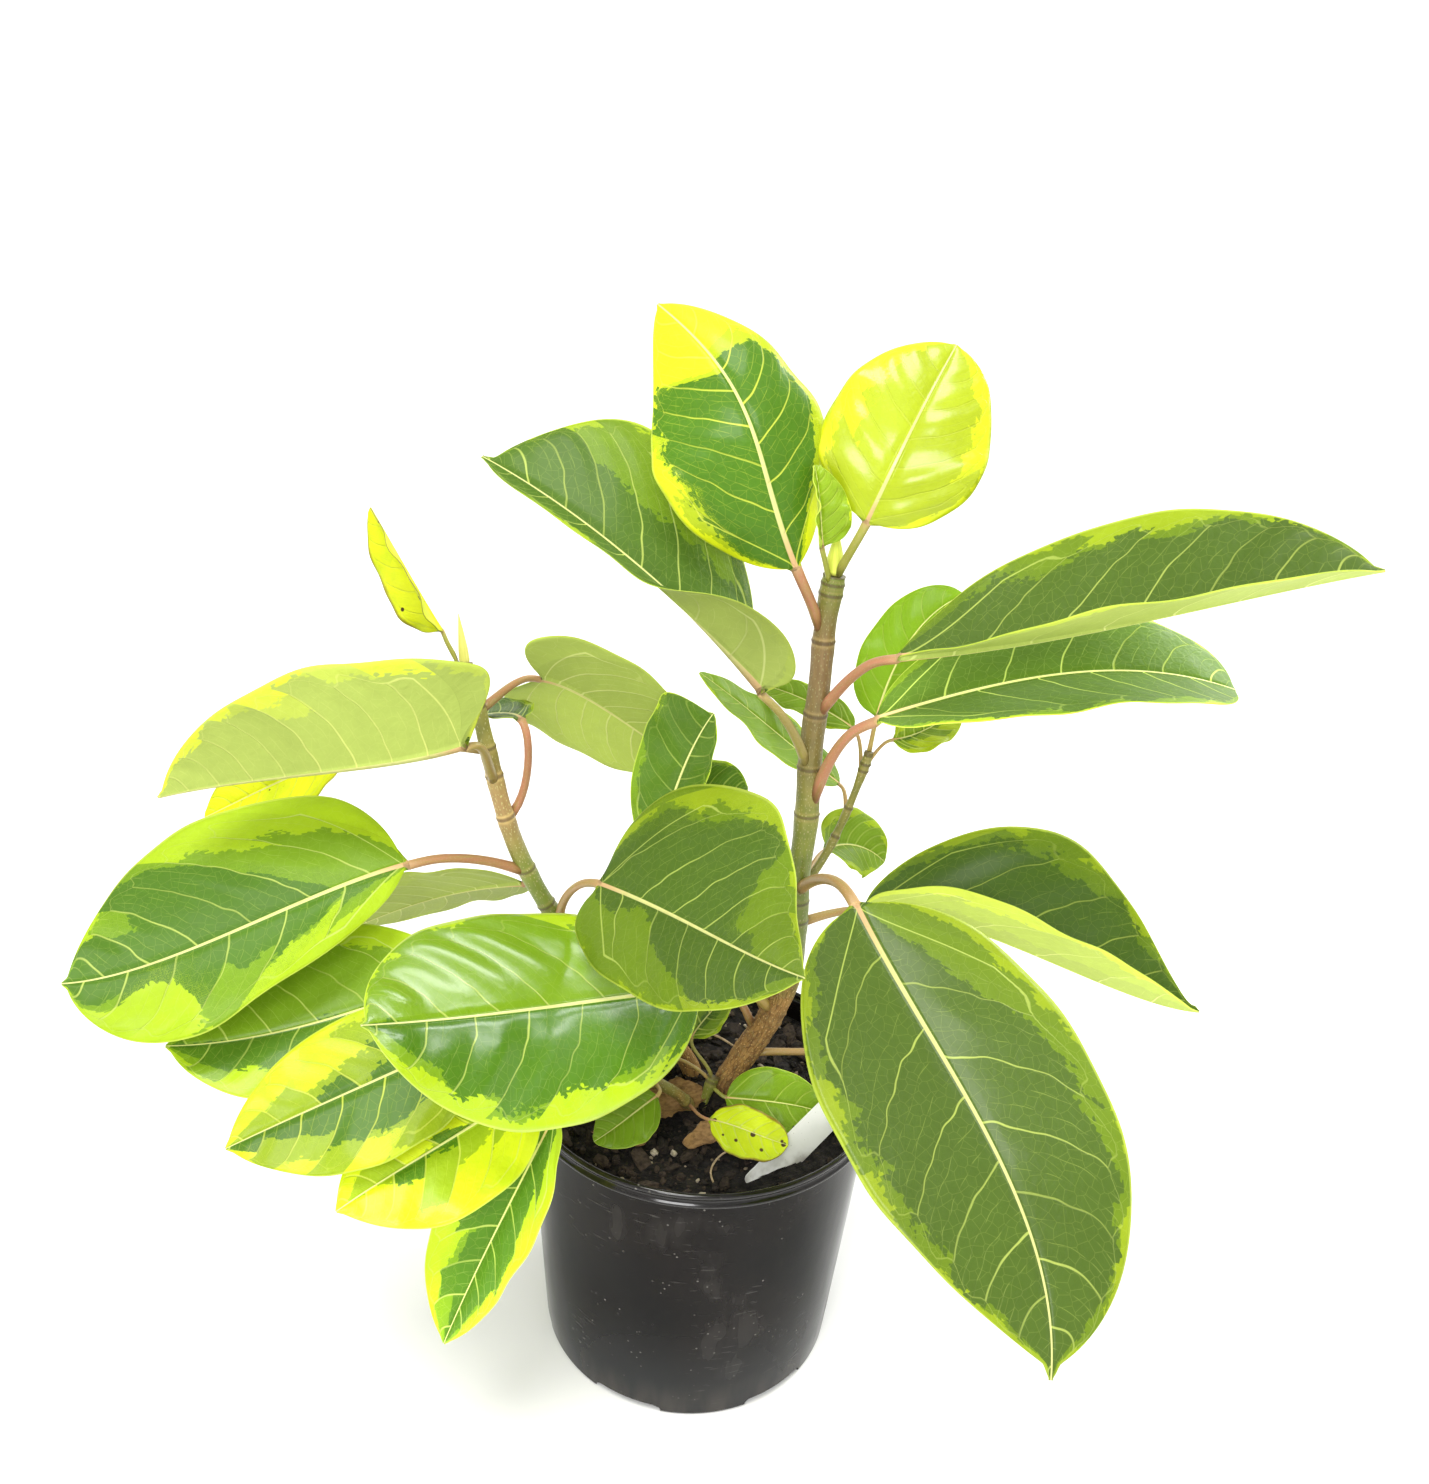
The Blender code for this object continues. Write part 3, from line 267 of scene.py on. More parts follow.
LEAVES = {
    "leaf_front_right": leaf(
        ((68, -60, 315), (105, -118, 276), (135, -172, 241), (145, -215, 195)), (-80, 42), (61, 63),
        ("main_stem", 288), 3.0, 0.35, fold=(4, 12), curl=(-8, -8), full=(0.62, 0.76),
        dark=((0.2, 0.62, 0.84, 0.9, 0.86, 0.74, 0.5), (0.8, 0.78, 0.86, 0.9, 0.86, 0.7, 0.45)),
        green=((0.9, 0.96, 0.95, 0.97, 0.93, 0.86, 0.7), (0.95, 0.94, 0.95, 0.95, 0.93, 0.84, 0.6)),
        patch=0.14, tone=0.15, gloss=0.42, veins=5.6, wave=0.8, nib=0.03, nib_width=3.4),
    "leaf_right_upper": leaf(
        ((78, -30, 431), (144, -50, 452), (201, -72, 477), (254, -92, 500)), (-95, 77), (52, 46),
        ("main_stem", 386), 2.7, 0.2, fold=(36, 38), curl=(-5, -5), peak=0.5, full=(0.78, 0.72),
        dark=((0.86, 0.72, 0.8, 0.93, 0.9, 0.85, 0.7), (0.8, 0.85, 0.9, 0.9)),
        green=((0.93, 0.85, 0.9, 0.97, 0.95, 0.93, 0.85), (0.9, 0.95)), patch=0.2, tone=0.2, pink=1.0,
        gloss=0.35, veins=5.6, slope=(0.6, 0.42), under=1.25, bright=1.12),
    "leaf_right_middle": leaf(
        ((73, -20, 396), (127, -24, 418), (180, -28, 430), (234, -30, 425)), (-95, 80), (45, 44),
        ("main_stem", 330), 3.0, 0.5, fold=(14, 10), peak=0.5, full=(0.6, 0.45),
        dark=((0.88, 0.93, 0.95, 0.95, 0.88), (0.88, 0.93, 0.92, 0.88, 0.8)), green=(1.0, 1.0), patch=0.1,
        tone=0.3, pink=1.0, gloss=0.3, veins=5.4, nib=0.008, trim=((1.0,), (1, 1, 1, 1.05, 1.1)),
        slope=(0.2, 0.5), bright=2.0),
    "leaf_right_lower": leaf(
        ((83, 15, 271), (140, 0, 271), (198, -28, 263), (240, -60, 269)), (-95, 88), (62, 52),
        ("main_stem", 268), 2.5, 0.1, fold=(50, 52), peak=(0.4, 0.48), full=((0.9, 0.6), (1.15, 0.6)),
        dark=((0.82, 0.8, 0.86, 0.95, 0.97), (0.2, 0.3, 0.4, 0.5)),
        green=((0.9, 0.93, 0.96, 1.0), (0.8, 0.8)), patch=0.25, tone=0.35, gloss=0.3, veins=4.6,
        trim=((0.5, 0.72, 0.98, 1.08, 1.0, 0.95, 0.9), (1.0,)), slope=(0.55, 0.42), under=1.5),
    "leaf_top": leaf(
        ((28, -10, 464), (10, -14, 509), (-7, -4, 543), (-44, 32, 573)), (-95, 15), (49, 36),
        ("main_stem", 424), 2.8, 0.5, fold=(0, -5), curl=(-10, -45), full=(0.8, 0.62),
        dark=((0.75, 0.82, 0.88, 0.9, 0.88, 0.8, -0.2, -0.9, -0.9),
              (0.4, 0.7, 0.85, 0.9, 0.9, 0.85, 0.3, -0.8, -0.8)),
        green=((0.8, 0.86, 0.9, 0.93, 0.93, 0.86, 0.0, -0.8, -0.8),
               (0.7, 0.95, 1.1, 1.1, 1.05, 1.0, 0.7, -0.5, -0.7)), patch=0.2, tone=0.95, yellow=0.8,
        pink=1.0, gloss=0.38, veins=5.4, quilt=0.7, nib=0.008, nib_width=2, slope=(0.75, 0.5), bright=1.2),
    "leaf_top_lime": leaf(
        ((58, -15, 489), (68, -13, 516), (79, -3, 540), (93, 15, 565)), (-100, 20), (39, 37),
        ("main_stem", 452), 2.2, 0.3, curl=(-20, -20), peak=0.46, full=(0.55, 0.5), dark=(-0.9, -0.9),
        green=((0.78, 0.74, 0.7, 0.62, 0.4), (0.8, 0.85, 0.8, 0.75, 0.6)), patch=0.4, tone=1.0, yellow=0.85,
        pink=0.2, gloss=0.7, veins=5, quilt=1.1, wave=1.5, clear=0.35, nib=0.008),
    "leaf_new": leaf(
        ((39, -12, 476), (37, -14, 488), (35, -14, 500), (32, -12, 512)), (-60, 0), (5, 14),
        ("main_stem", 447), 1.4, 0.5, fold=(50, 30), peak=0.36, dark=(-1, -1), green=(1.1, 1.1), tone=1.0,
        yellow=0.4, pink=0.1, veins=5, clear=0.35, bright=1.3),
    "leaf_upper_left": leaf(
        ((15, -30, 411), (-21, -20, 443), (-68, -4, 475), (-124, 22, 500)), (-60, 40), (46, 47),
        ("main_stem", 356), 2.5, 0.3, fold=((105, 88, 45, 36, 30), (25, 15, 5, 0, 0)), curl=(0, -10),
        roll=(40, 20, -5, -15, -20), peak=0.5, full=((0.42, 1.0), (0.6, 0.6)), lobe=(38, 0),
        dark=((0.9, 0.85, 0.9, 0.95), (0.9, 0.75, 0.65, 0.8, 0.85)), green=((0.97, 0.95), (0.97, 0.97)),
        patch=0.45, tone=0.45, pink=0.35, gloss=0.3, veins=6.4, nib=0.03,
        trim=((0.75, 0.7, 0.62, 0.38, 0.26, 0.26, 0.4), (1, 1, 1.1, 1.25, 1.45, 1.6, 1.2)),
        slope=(0.3, 0.65), under=0.66, bright=1.12),
    "leaf_left_small": leaf(
        ((-141, 0, 419), (-151, 4, 434), (-165, 12, 454), (-178, 20, 472)), (-153, 10), (18, 16),
        ("left_stem", 394), 1.4, -0.2, fold=(27, 27), dark=(-1, -1), green=(-0.6, -0.6), tone=1.0,
        yellow=0.9, pink=0.2, spots=0.6, gloss=0.25, veins=5, clear=0.4),
    "leaf_left_upper": leaf(
        ((-124, -33, 373), (-167, -38, 362), (-217, -44, 354), (-265, -50, 344)), (-90, 88), (54, 40),
        ("left_stem", 340), 2.5, 0.1, fold=(88, 15), curl=(-5, 0), peak=0.42,
        full=((0.44, 0.6), (0.8, 0.8)), lobe=(60, 0), dark=((0.8, 0.85, 0.7, 0.5), (0.4, 0.3, 0.2)),
        green=((0.92, 0.85, 0.6, 0.3), (0.6, 0.5)), patch=0.5, tone=0.55, yellow=0.5, pink=0.5, veins=7.5,
        quilt=0.9, slope=(0.2, 0.42)),
    "leaf_left_back": leaf(
        ((-104, 12, 371), (-115, 26, 367), (-130, 38, 360), (-147, 48, 351)), (-90, 84), (20, 16),
        ("left_stem", 318), 2.2, -0.5, fold=(10, 10), dark=(0.85, 0.85), green=(0.95, 0.95), pink=1.0,
        veins=5.5),
    "leaf_left_inner": leaf(
        ((-97, 42, 382), (-72, 56, 366), (-42, 66, 342), (-9, 70, 319)), (90, 35), (54, 42),
        ("left_stem", 378), 2.2, 0.1, lobe=(24, 65), dark=(-0.2, 1.1), green=(1.15, 1.15), patch=0.2,
        tone=0.6, pink=0.8, veins=6, clear=1.0, trim=((1.0,), (1.15, 0.95, 0.9, 0.95, 1.0)),
        slope=(0.42, 0.8), bright=1.15),
    "leaf_left_large": leaf(
        ((-155, -30, 305), (-204, -55, 292), (-253, -80, 276), (-296, -100, 271)), (-100, 58), (52, 68),
        ("left_stem", 284), 2.6, 0.3, fold=(-8, 8), curl=(-20, -8), full=((0.95, 0.6), 0.66),
        dark=((0.1, 0.2, 0.7, 0.8, 0.35, 0.0, 0.6, 0.6), (-0.3, 0.0, 0.8, 0.95, 0.6, 0.9, 0.9)),
        green=((0.3, 0.45, 0.8, 0.95, 0.6, 0.2, 0.75, 0.7), (0.65, 0.85, 0.95, 1.0, 0.85, 0.95, 0.95)),
        patch=0.6, tone=0.75, yellow=0.05, pink=0.9, gloss=0.25, veins=5.4, quilt=0.9,
        trim=((0.62, 0.56, 0.58, 0.68, 0.9, 1.0, 1.0), (1.0,)), slope=(0.42, 0.6), bright=1.15),
    "leaf_left_under": leaf(
        ((-103, 16, 273), (-134, 26, 261), (-169, 36, 243), (-212, 46, 216)), (90, 50), (38, 38),
        ("left_stem", 262), 2.2, 0.1, dark=(0.85, 0.85), green=(0.95, 0.95), tone=0.2, pink=0.9, veins=6.5),
    "leaf_withered": leaf(
        ((-200, 22, 338), (-224, 20, 327), (-248, 15, 315), (-271, 10, 303)), (-90, 50), (20, 22),
        ("left_stem", 356), 1.6, 0.1, fold=(10, 20), peak=0.4, dark=(-1, -1), green=(-0.4, -0.4), tone=0.9,
        yellow=1.0, spots=0.35, gloss=0.2, veins=6),
    "leaf_centre": leaf(
        ((-57, -26, 299), (-19, -70, 310), (11, -114, 322), (36, -165, 343)), (-88, 38), (64, 42),
        ("left_stem", 250), 2.4, 0.5, fold=(5, 8), curl=(-8, -12), peak=(0.38, 0.42),
        full=((0.5, 0.5), (0.85, 0.72)), lobe=(12, 20),
        dark=((0.6, 0.84, 0.88, 0.55, 0.15, 0.0, 0.0, 0.0), (0.3, 0.2, 0.25, 0.6, 0.86, 0.8, 0.6, 0.3)),
        green=((0.95, 0.96), (0.93, 0.93, 0.95, 0.96)), tone=0.3, gloss=0.35, veins=5.6, nib=0.015,
        trim=((1.0, 1.1, 1.12, 1.05, 0.86, 0.68, 0.7), (1.0, 1.0, 0.98, 0.95, 0.92)), slope=(0.6, 0.42)),
    "leaf_centre_back": leaf(
        ((-33, 22, 285), (-25, 20, 326), (-16, 17, 357), (-6, 12, 380)), (-90, 20), (30, 14),
        ("main_stem", 192), 2.0, 0.3, fold=(0, 20), peak=0.55, full=((0.6, 0.6), (0.4, 0.7)),
        dark=(0.92, 0.92), green=(0.97, 0.97), tone=0.45, pink=0.8, veins=5, clear=0.5,
        trim=((0.8, 0.85, 0.85, 0.85, 0.9, 1.1, 1.8), (1.0,)), bright=1.55),
    "leaf_centre_low": leaf(
        ((-33, 50, 309), (-16, 44, 321), (0, 37, 328), (15, 31, 329)), (-90, 60), (18, 18),
        ("main_stem", 203), 1.8, 0.3, fold=(10, 10), dark=(0.85, 0.85), tone=0.5, veins=5, clear=0.45,
        bright=1.4),
    "leaf_front": leaf(
        ((-5, -30, 244), (-56, -70, 259), (-102, -112, 277), (-140, -158, 302)), (-88, 52), (56, 54),
        ("main_stem", 209), 2.6, 0.4, fold=(2, 2), curl=(-18, -14), peak=0.5, full=(0.6, 0.62),
        dark=((0.8, 0.76, 0.72, 0.7, 0.74, 0.5, 0.1), (0.85, 0.2, -0.2, -0.3, -0.2, 0.0, 0.1)),
        green=((0.86, 0.8, 0.76, 0.78, 0.8, 0.72, 0.6), (0.95, 0.95, 0.95, 0.95, 0.95, 0.9, 0.8)),
        tone=0.95, gloss=0.85, quilt=1.3, wave=1.0, slope=(0.42, 0.55), bright=1.15),
    "leaf_low_1": leaf(
        ((-129, -52, 255), (-173, -62, 239), (-216, -76, 231), (-257, -90, 232)), (-90, 55), (40, 46),
        ("low_shoot", 245), 1.8, 0.6, dark=((0.3, 0.35, 0.4, 0.2), (-0.3, -0.2, 0.0, 0.0)),
        green=((0.8, 0.75, 0.7), (0.8, 0.85, 0.8)), patch=0.5, tone=0.7, yellow=0.05, veins=5, bright=1.3),
    "leaf_low_2": leaf(
        ((-112, -84, 244), (-145, -98, 232), (-180, -115, 221), (-214, -132, 210)), (-90, 50), (38, 34),
        ("low_shoot", 236), 1.8, 0.4, dark=((0.7, 0.8, 0.6, 0.3), (0.5, 0.4, 0.0, -0.4)),
        green=((0.85, 0.9, 0.8), (0.7, 0.5, 0.1)), patch=0.6, tone=0.8, yellow=0.55, gloss=0.35, veins=5,
        bright=1.05),
    "leaf_low_3": leaf(
        ((-84, -82, 215), (-111, -102, 204), (-138, -122, 195), (-162, -142, 187)), (-90, 50), (36, 30),
        ("low_shoot", 222), 1.8, 0.3, dark=((-0.1, 0.1, 0.0, -0.3), (-0.6, -0.2, -0.2, -0.5)),
        green=((0.3, 0.55, 0.4, 0.0), (-0.3, 0.35, 0.25, -0.3)), patch=0.7, tone=1.0, yellow=0.55, veins=5,
        bright=1.45),
    "leaf_low_4": leaf(
        ((-71, -84, 201), (-88, -103, 166), (-103, -119, 134), (-117, -134, 100)), (-120, 25), (28, 32),
        ("low_shoot", 205), 1.8, 0.2, fold=(25, 25), dark=((0.3, 0.7, 0.75, 0.4), (0.2, 0.5, 0.5, 0.2)),
        green=((0.5, 0.8), (0.4, 0.65)), patch=0.35, tone=0.85, veins=5, bright=1.75),
    "leaflet_front": leaf(
        ((-23, -57, 194), (-33, -64, 189), (-42, -70, 184), (-52, -77, 180)), (-90, 50), (15, 15),
        ("low_shoot", 186), 1.1, 0.2, fold=(8, 8), dark=(-0.2, -0.2), green=(1.2, 1.2), tone=0.8, gloss=0.3,
        veins=5, clear=0.3, bright=0.8),
    "leaflet_green": leaf(
        ((15, -19, 166), (34, -21, 167), (53, -22, 166), (70, -24, 163)), (-90, 50), (18, 17),
        ("small_shoot", 168), 1.1, 0.1, fold=(8, 8), dark=(-0.2, -0.2), green=(1.2, 1.2), tone=0.6,
        pink=0.1, gloss=0.3, veins=4, clear=0.5, bright=1.4),
    "leaflet_yellow": leaf(
        ((7, -49, 175), (20, -53, 175), (34, -57, 173), (47, -61, 172)), (-90, 60), (12, 15),
        ("low_shoot", 163), 0.9, 0.1, fold=(6, 6), peak=0.5, full=(0.5, 0.5), dark=(-1, -1),
        green=(-0.1, -0.1), tone=0.8, yellow=0.5, pink=1.0, spots=0.8, gloss=0.3, veins=5, bright=1.2),
    "leaflet_pale": leaf(
        ((-6, -7, 197), (0, -4, 206), (7, -2, 216), (13, 0, 227)), (-90, 50), (10, 10),
        ("small_shoot", 171), 1.0, 0.5, fold=(12, 12), dark=(0.3, 0.3), pink=0.2, veins=4),
    "leaflet_inner": leaf(
        ((-14, -8, 182), (-27, -8, 186), (-40, -9, 188), (-52, -10, 187)), (-90, 60), (13, 13),
        ("small_shoot", 170), 1.0, 0.2, fold=(10, 10), tone=0.5, veins=5),
    "leaf_low_right": leaf(
        ((66, 2, 186), (88, 3, 189), (109, 4, 187), (130, 5, 181)), (-80, 62), (22, 22), ("main_stem", 181),
        2.2, 0.1, fold=(12, 12), tone=0.3, veins=6),
    "leaf_back_lime": leaf(
        ((79, 30, 378), (85, 33, 402), (97, 36, 426), (117, 38, 443)), (-100, 20), (20, 26),
        ("back_twig", 357), 1.3, 0.5, curl=(-15, -15), full=(0.55, 0.55), dark=(-1, -1),
        green=(1.2, 1.2), tone=1.0, gloss=0.3, veins=5, clear=0.35, bright=1.4),
    "leaf_back_left": leaf(
        ((63, 32, 337), (37, 38, 354), (12, 44, 371), (-15, 50, 388)), (-30, 60), (20, 18),
        ("back_twig", 325), 1.2, 0.3, fold=(6, 6), dark=(-0.2, -0.2), green=(1.0, 1.0), tone=0.6,
        gloss=0.25, veins=6, clear=0.5, bright=1.2),
    "leaf_back_small": leaf(
        ((67, 36, 368), (51, 48, 373), (34, 59, 376), (20, 68, 376)), (-90, 60), (11, 11),
        ("back_twig", 347), 1.1, 0.3, fold=(8, 8), dark=(-0.2, -0.2), green=(1.0, 1.0), tone=0.6,
        gloss=0.25, veins=5, clear=0.5, bright=1.1),
    "leaf_back_low": leaf(
        ((63, 46, 290), (75, 56, 288), (87, 61, 283), (98, 64, 274)), (-90, 50), (22, 20),
        ("main_stem", 279), 1.3, 0.2, fold=(8, 8), dark=(-0.2, -0.1), green=(0.8, 0.9), patch=0.4, tone=0.5,
        gloss=0.25, veins=6, clear=0.5),
    "leaf_back_right": leaf(
        ((88, 18, 370), (99, 22, 372), (112, 31, 376), (124, 40, 383)), (-90, 60), (12, 13),
        ("back_twig", 352), 1.0, 0.2, fold=(8, 8), dark=(-0.2, 0.0), green=(0.4, 0.5), patch=0.6,
        tone=0.6, yellow=0.3, veins=6),
}


def pair(value):
    """The values of both halves, when one may stand for both."""
    return tuple(value) if isinstance(value, (tuple, list)) else (value, value)


def unit(v):
    """The vector made 1 long."""
    return v / np.linalg.norm(v)


def aim(azimuth, elevation):
    """The direction of a compass angle and a height in degrees."""
    a, e = math.radians(azimuth), math.radians(elevation)
    return np.array([math.cos(e) * math.cos(a), math.cos(e) * math.sin(a), math.sin(e)])


def smooth_step(low, high, x):
    """0 below low, 1 above high and a smooth change between."""
    u = np.clip((x - low) / (high - low), 0, 1)
    return u * u * (3 - 2 * u)


def keyed(values, s):
    """Smooth curve through evenly spaced key values."""
    v = np.atleast_1d(np.asarray(values, float))
    s = np.clip(s, 0, 1)
    if len(v) == 1:
        return np.full_like(s, v[0])
    x = s * (len(v) - 1)
    i = np.clip(x.astype(int), 0, len(v) - 2)
    f = x - i
    p0, p1, p2 = v[np.clip(i - 1, 0, None)], v[i], v[i + 1]
    p3 = v[np.clip(i + 2, None, len(v) - 1)]
    bend = 2 * p0 - 5 * p1 + 4 * p2 - p3
    return 0.5 * (2 * p1 + (p2 - p0) * f + bend * f ** 2 + (3 * p1 - p0 - 3 * p2 + p3) * f ** 3)


def smooth_path(points, count):
    """Smooth curve through unevenly spaced rows of numbers, evenly spaced along its length."""
    p = np.asarray(points, float)
    step = np.linalg.norm(np.diff(p[:, :3], axis=0), axis=1)
    at = np.concatenate([[0], np.cumsum(step)])
    slope = np.gradient(p, at, axis=0)
    want = np.linspace(0, at[-1], count)
    i = np.clip(np.searchsorted(at, want, side="right") - 1, 0, len(step) - 1)
    h = step[i][:, None]
    f = ((want - at[i]) / step[i])[:, None]
    a, b = p[i], p[i + 1]
    da, db = slope[i] * h, slope[i + 1] * h
    return ((2 * f ** 3 - 3 * f ** 2 + 1) * a + (f ** 3 - 2 * f ** 2 + f) * da
            + (3 * f ** 2 - 2 * f ** 3) * b + (f ** 3 - f ** 2) * db)


class Shader:
    """A node material in the making, with short calls for the nodes that the finishes use."""

    def __init__(self, name):
        self.material = bpy.data.materials.new(name)
        self.material.use_nodes = True
        self.tree = self.material.node_tree
        self.surface = self.tree.nodes["Principled BSDF"]

    def feed(self, socket, value):
        """Links an output to a socket, or sets the socket's own value."""
        if isinstance(value, bpy.types.NodeSocket):
            self.tree.links.new(value, socket)
        elif isinstance(value, tuple) and len(value) == 3 and socket.type == "RGBA":
            socket.default_value = (*value, 1)
        else:
            socket.default_value = value

    def add(self, kind, inputs=None, output=0, **settings):
        """Adds a node, feeds its inputs and returns one of its outputs."""
        node = self.tree.nodes.new(kind)
        for key, value in settings.items():
            setattr(node, key, value)
        for key, value in (inputs or {}).items():
            self.feed(node.inputs[key], value)
        return node.outputs[output]

    def set(self, **inputs):
        """Feeds the surface and returns its material."""
        for key, value in inputs.items():
            self.feed(self.surface.inputs[key.replace("_", " ")], value)
        return self.material

    def attribute(self, name):
        """The three numbers of an attribute, and the attribute as a vector."""
        vector = self.add("ShaderNodeAttribute", attribute_name=name, output="Vector")
        return [*self.part(vector).node.outputs, vector]

    def math(self, operation, a, b=0.0, c=0.0):
        return self.add("ShaderNodeMath", {0: a, 1: b, 2: c}, operation=operation)

    def plus(self, a, b):
        return self.math("ADD", a, b)

    def minus(self, a, b):
        return self.math("SUBTRACT", a, b)

    def times(self, a, b):
        return self.math("MULTIPLY", a, b)

    def scaled(self, value, by, start):
        """The value times by, plus start."""
        return self.math("MULTIPLY_ADD", value, by, start)

    def most(self, a, b):
        return self.math("MAXIMUM", a, b)

    def size(self, value):
        return self.math("ABSOLUTE", value)

    def whole(self, value):
        return self.math("FLOOR", value)

    def part(self, vector, axis=0):
        """One of a vector's three numbers."""
        return self.add("ShaderNodeSeparateXYZ", {0: vector}, output=axis)

    def shift(self, vector, by):
        return self.add("ShaderNodeVectorMath", {0: vector, 1: by}, operation="ADD")

    def stretch(self, vector, by):
        return self.add("ShaderNodeVectorMath", {0: vector, 1: by}, operation="MULTIPLY")

    def ramp(self, value, low, high, start=0.0, end=1.0):
        """start below low, end above high and a smooth change between."""
        inputs = {0: value, 1: low, 2: high, 3: start, 4: end}
        return self.add("ShaderNodeMapRange", inputs, interpolation_type="SMOOTHSTEP")

    def mix(self, share, a, b):
        """Colour a, changed into b by the share."""
        return self.add("ShaderNodeMix", {0: share, 6: a, 7: b}, output=2, data_type="RGBA")

    def noise(self, vector, scale, detail=2.0, roughness=0.5):
        inputs = {"Vector": vector, "Scale": scale, "Detail": detail, "Roughness": roughness}
        return self.add("ShaderNodeTexNoise", inputs)

    def cells(self, vector, scale, feature="F1", output="Distance", flat=True):
        """Cells of uneven size, flat ones on the first two numbers of the vector."""
        return self.add("ShaderNodeTexVoronoi", {"Vector": vector, "Scale": scale}, output=output,
                        feature=feature, voronoi_dimensions="2D" if flat else "3D")

    def chance(self, value):
        """A number from 0 to 1 that is drawn anew for each value."""
        return self.add("ShaderNodeTexWhiteNoise", {"W": value}, noise_dimensions="1D")

    def tinted(self, colour, value):
        """The colour made brighter or darker."""
        return self.add("ShaderNodeHueSaturation", {"Value": value, "Color": colour})

    def place(self):
        """The place on the piece in metres."""
        return self.add("ShaderNodeTexCoord", output="Object")

    def bump(self, height, strength):
        """Surface relief, height in mm."""
        return self.add("ShaderNodeBump", {"Height": height, "Distance": MM, "Strength": strength})


# Leaf colours, each for dull old leaves and for bright young ones.
TOP_COLOURS = {
    "dark": ((0.060, 0.099, 0.011), (0.056, 0.150, 0.005)),
    "green": ((0.105, 0.168, 0.007), (0.145, 0.270, 0.007)),
    "lime": ((0.170, 0.245, 0.007), (0.300, 0.455, 0.008)),
}
UNDER_COLOURS = {
    "dark": ((0.320, 0.390, 0.085), (0.350, 0.440, 0.085)),
    "green": ((0.340, 0.420, 0.080), (0.410, 0.520, 0.085)),
    "lime": ((0.390, 0.470, 0.060), (0.560, 0.670, 0.090)),
}
YELLOW = (0.660, 0.700, 0.010)
VEIN = (0.380, 0.470, 0.100)
UNDER_VEIN = (0.620, 0.660, 0.260)
RIB_CREAM = (0.590, 0.590, 0.220)
RIB_PINK = (0.600, 0.320, 0.180)
EDGE_PALE = (0.460, 0.570, 0.070)


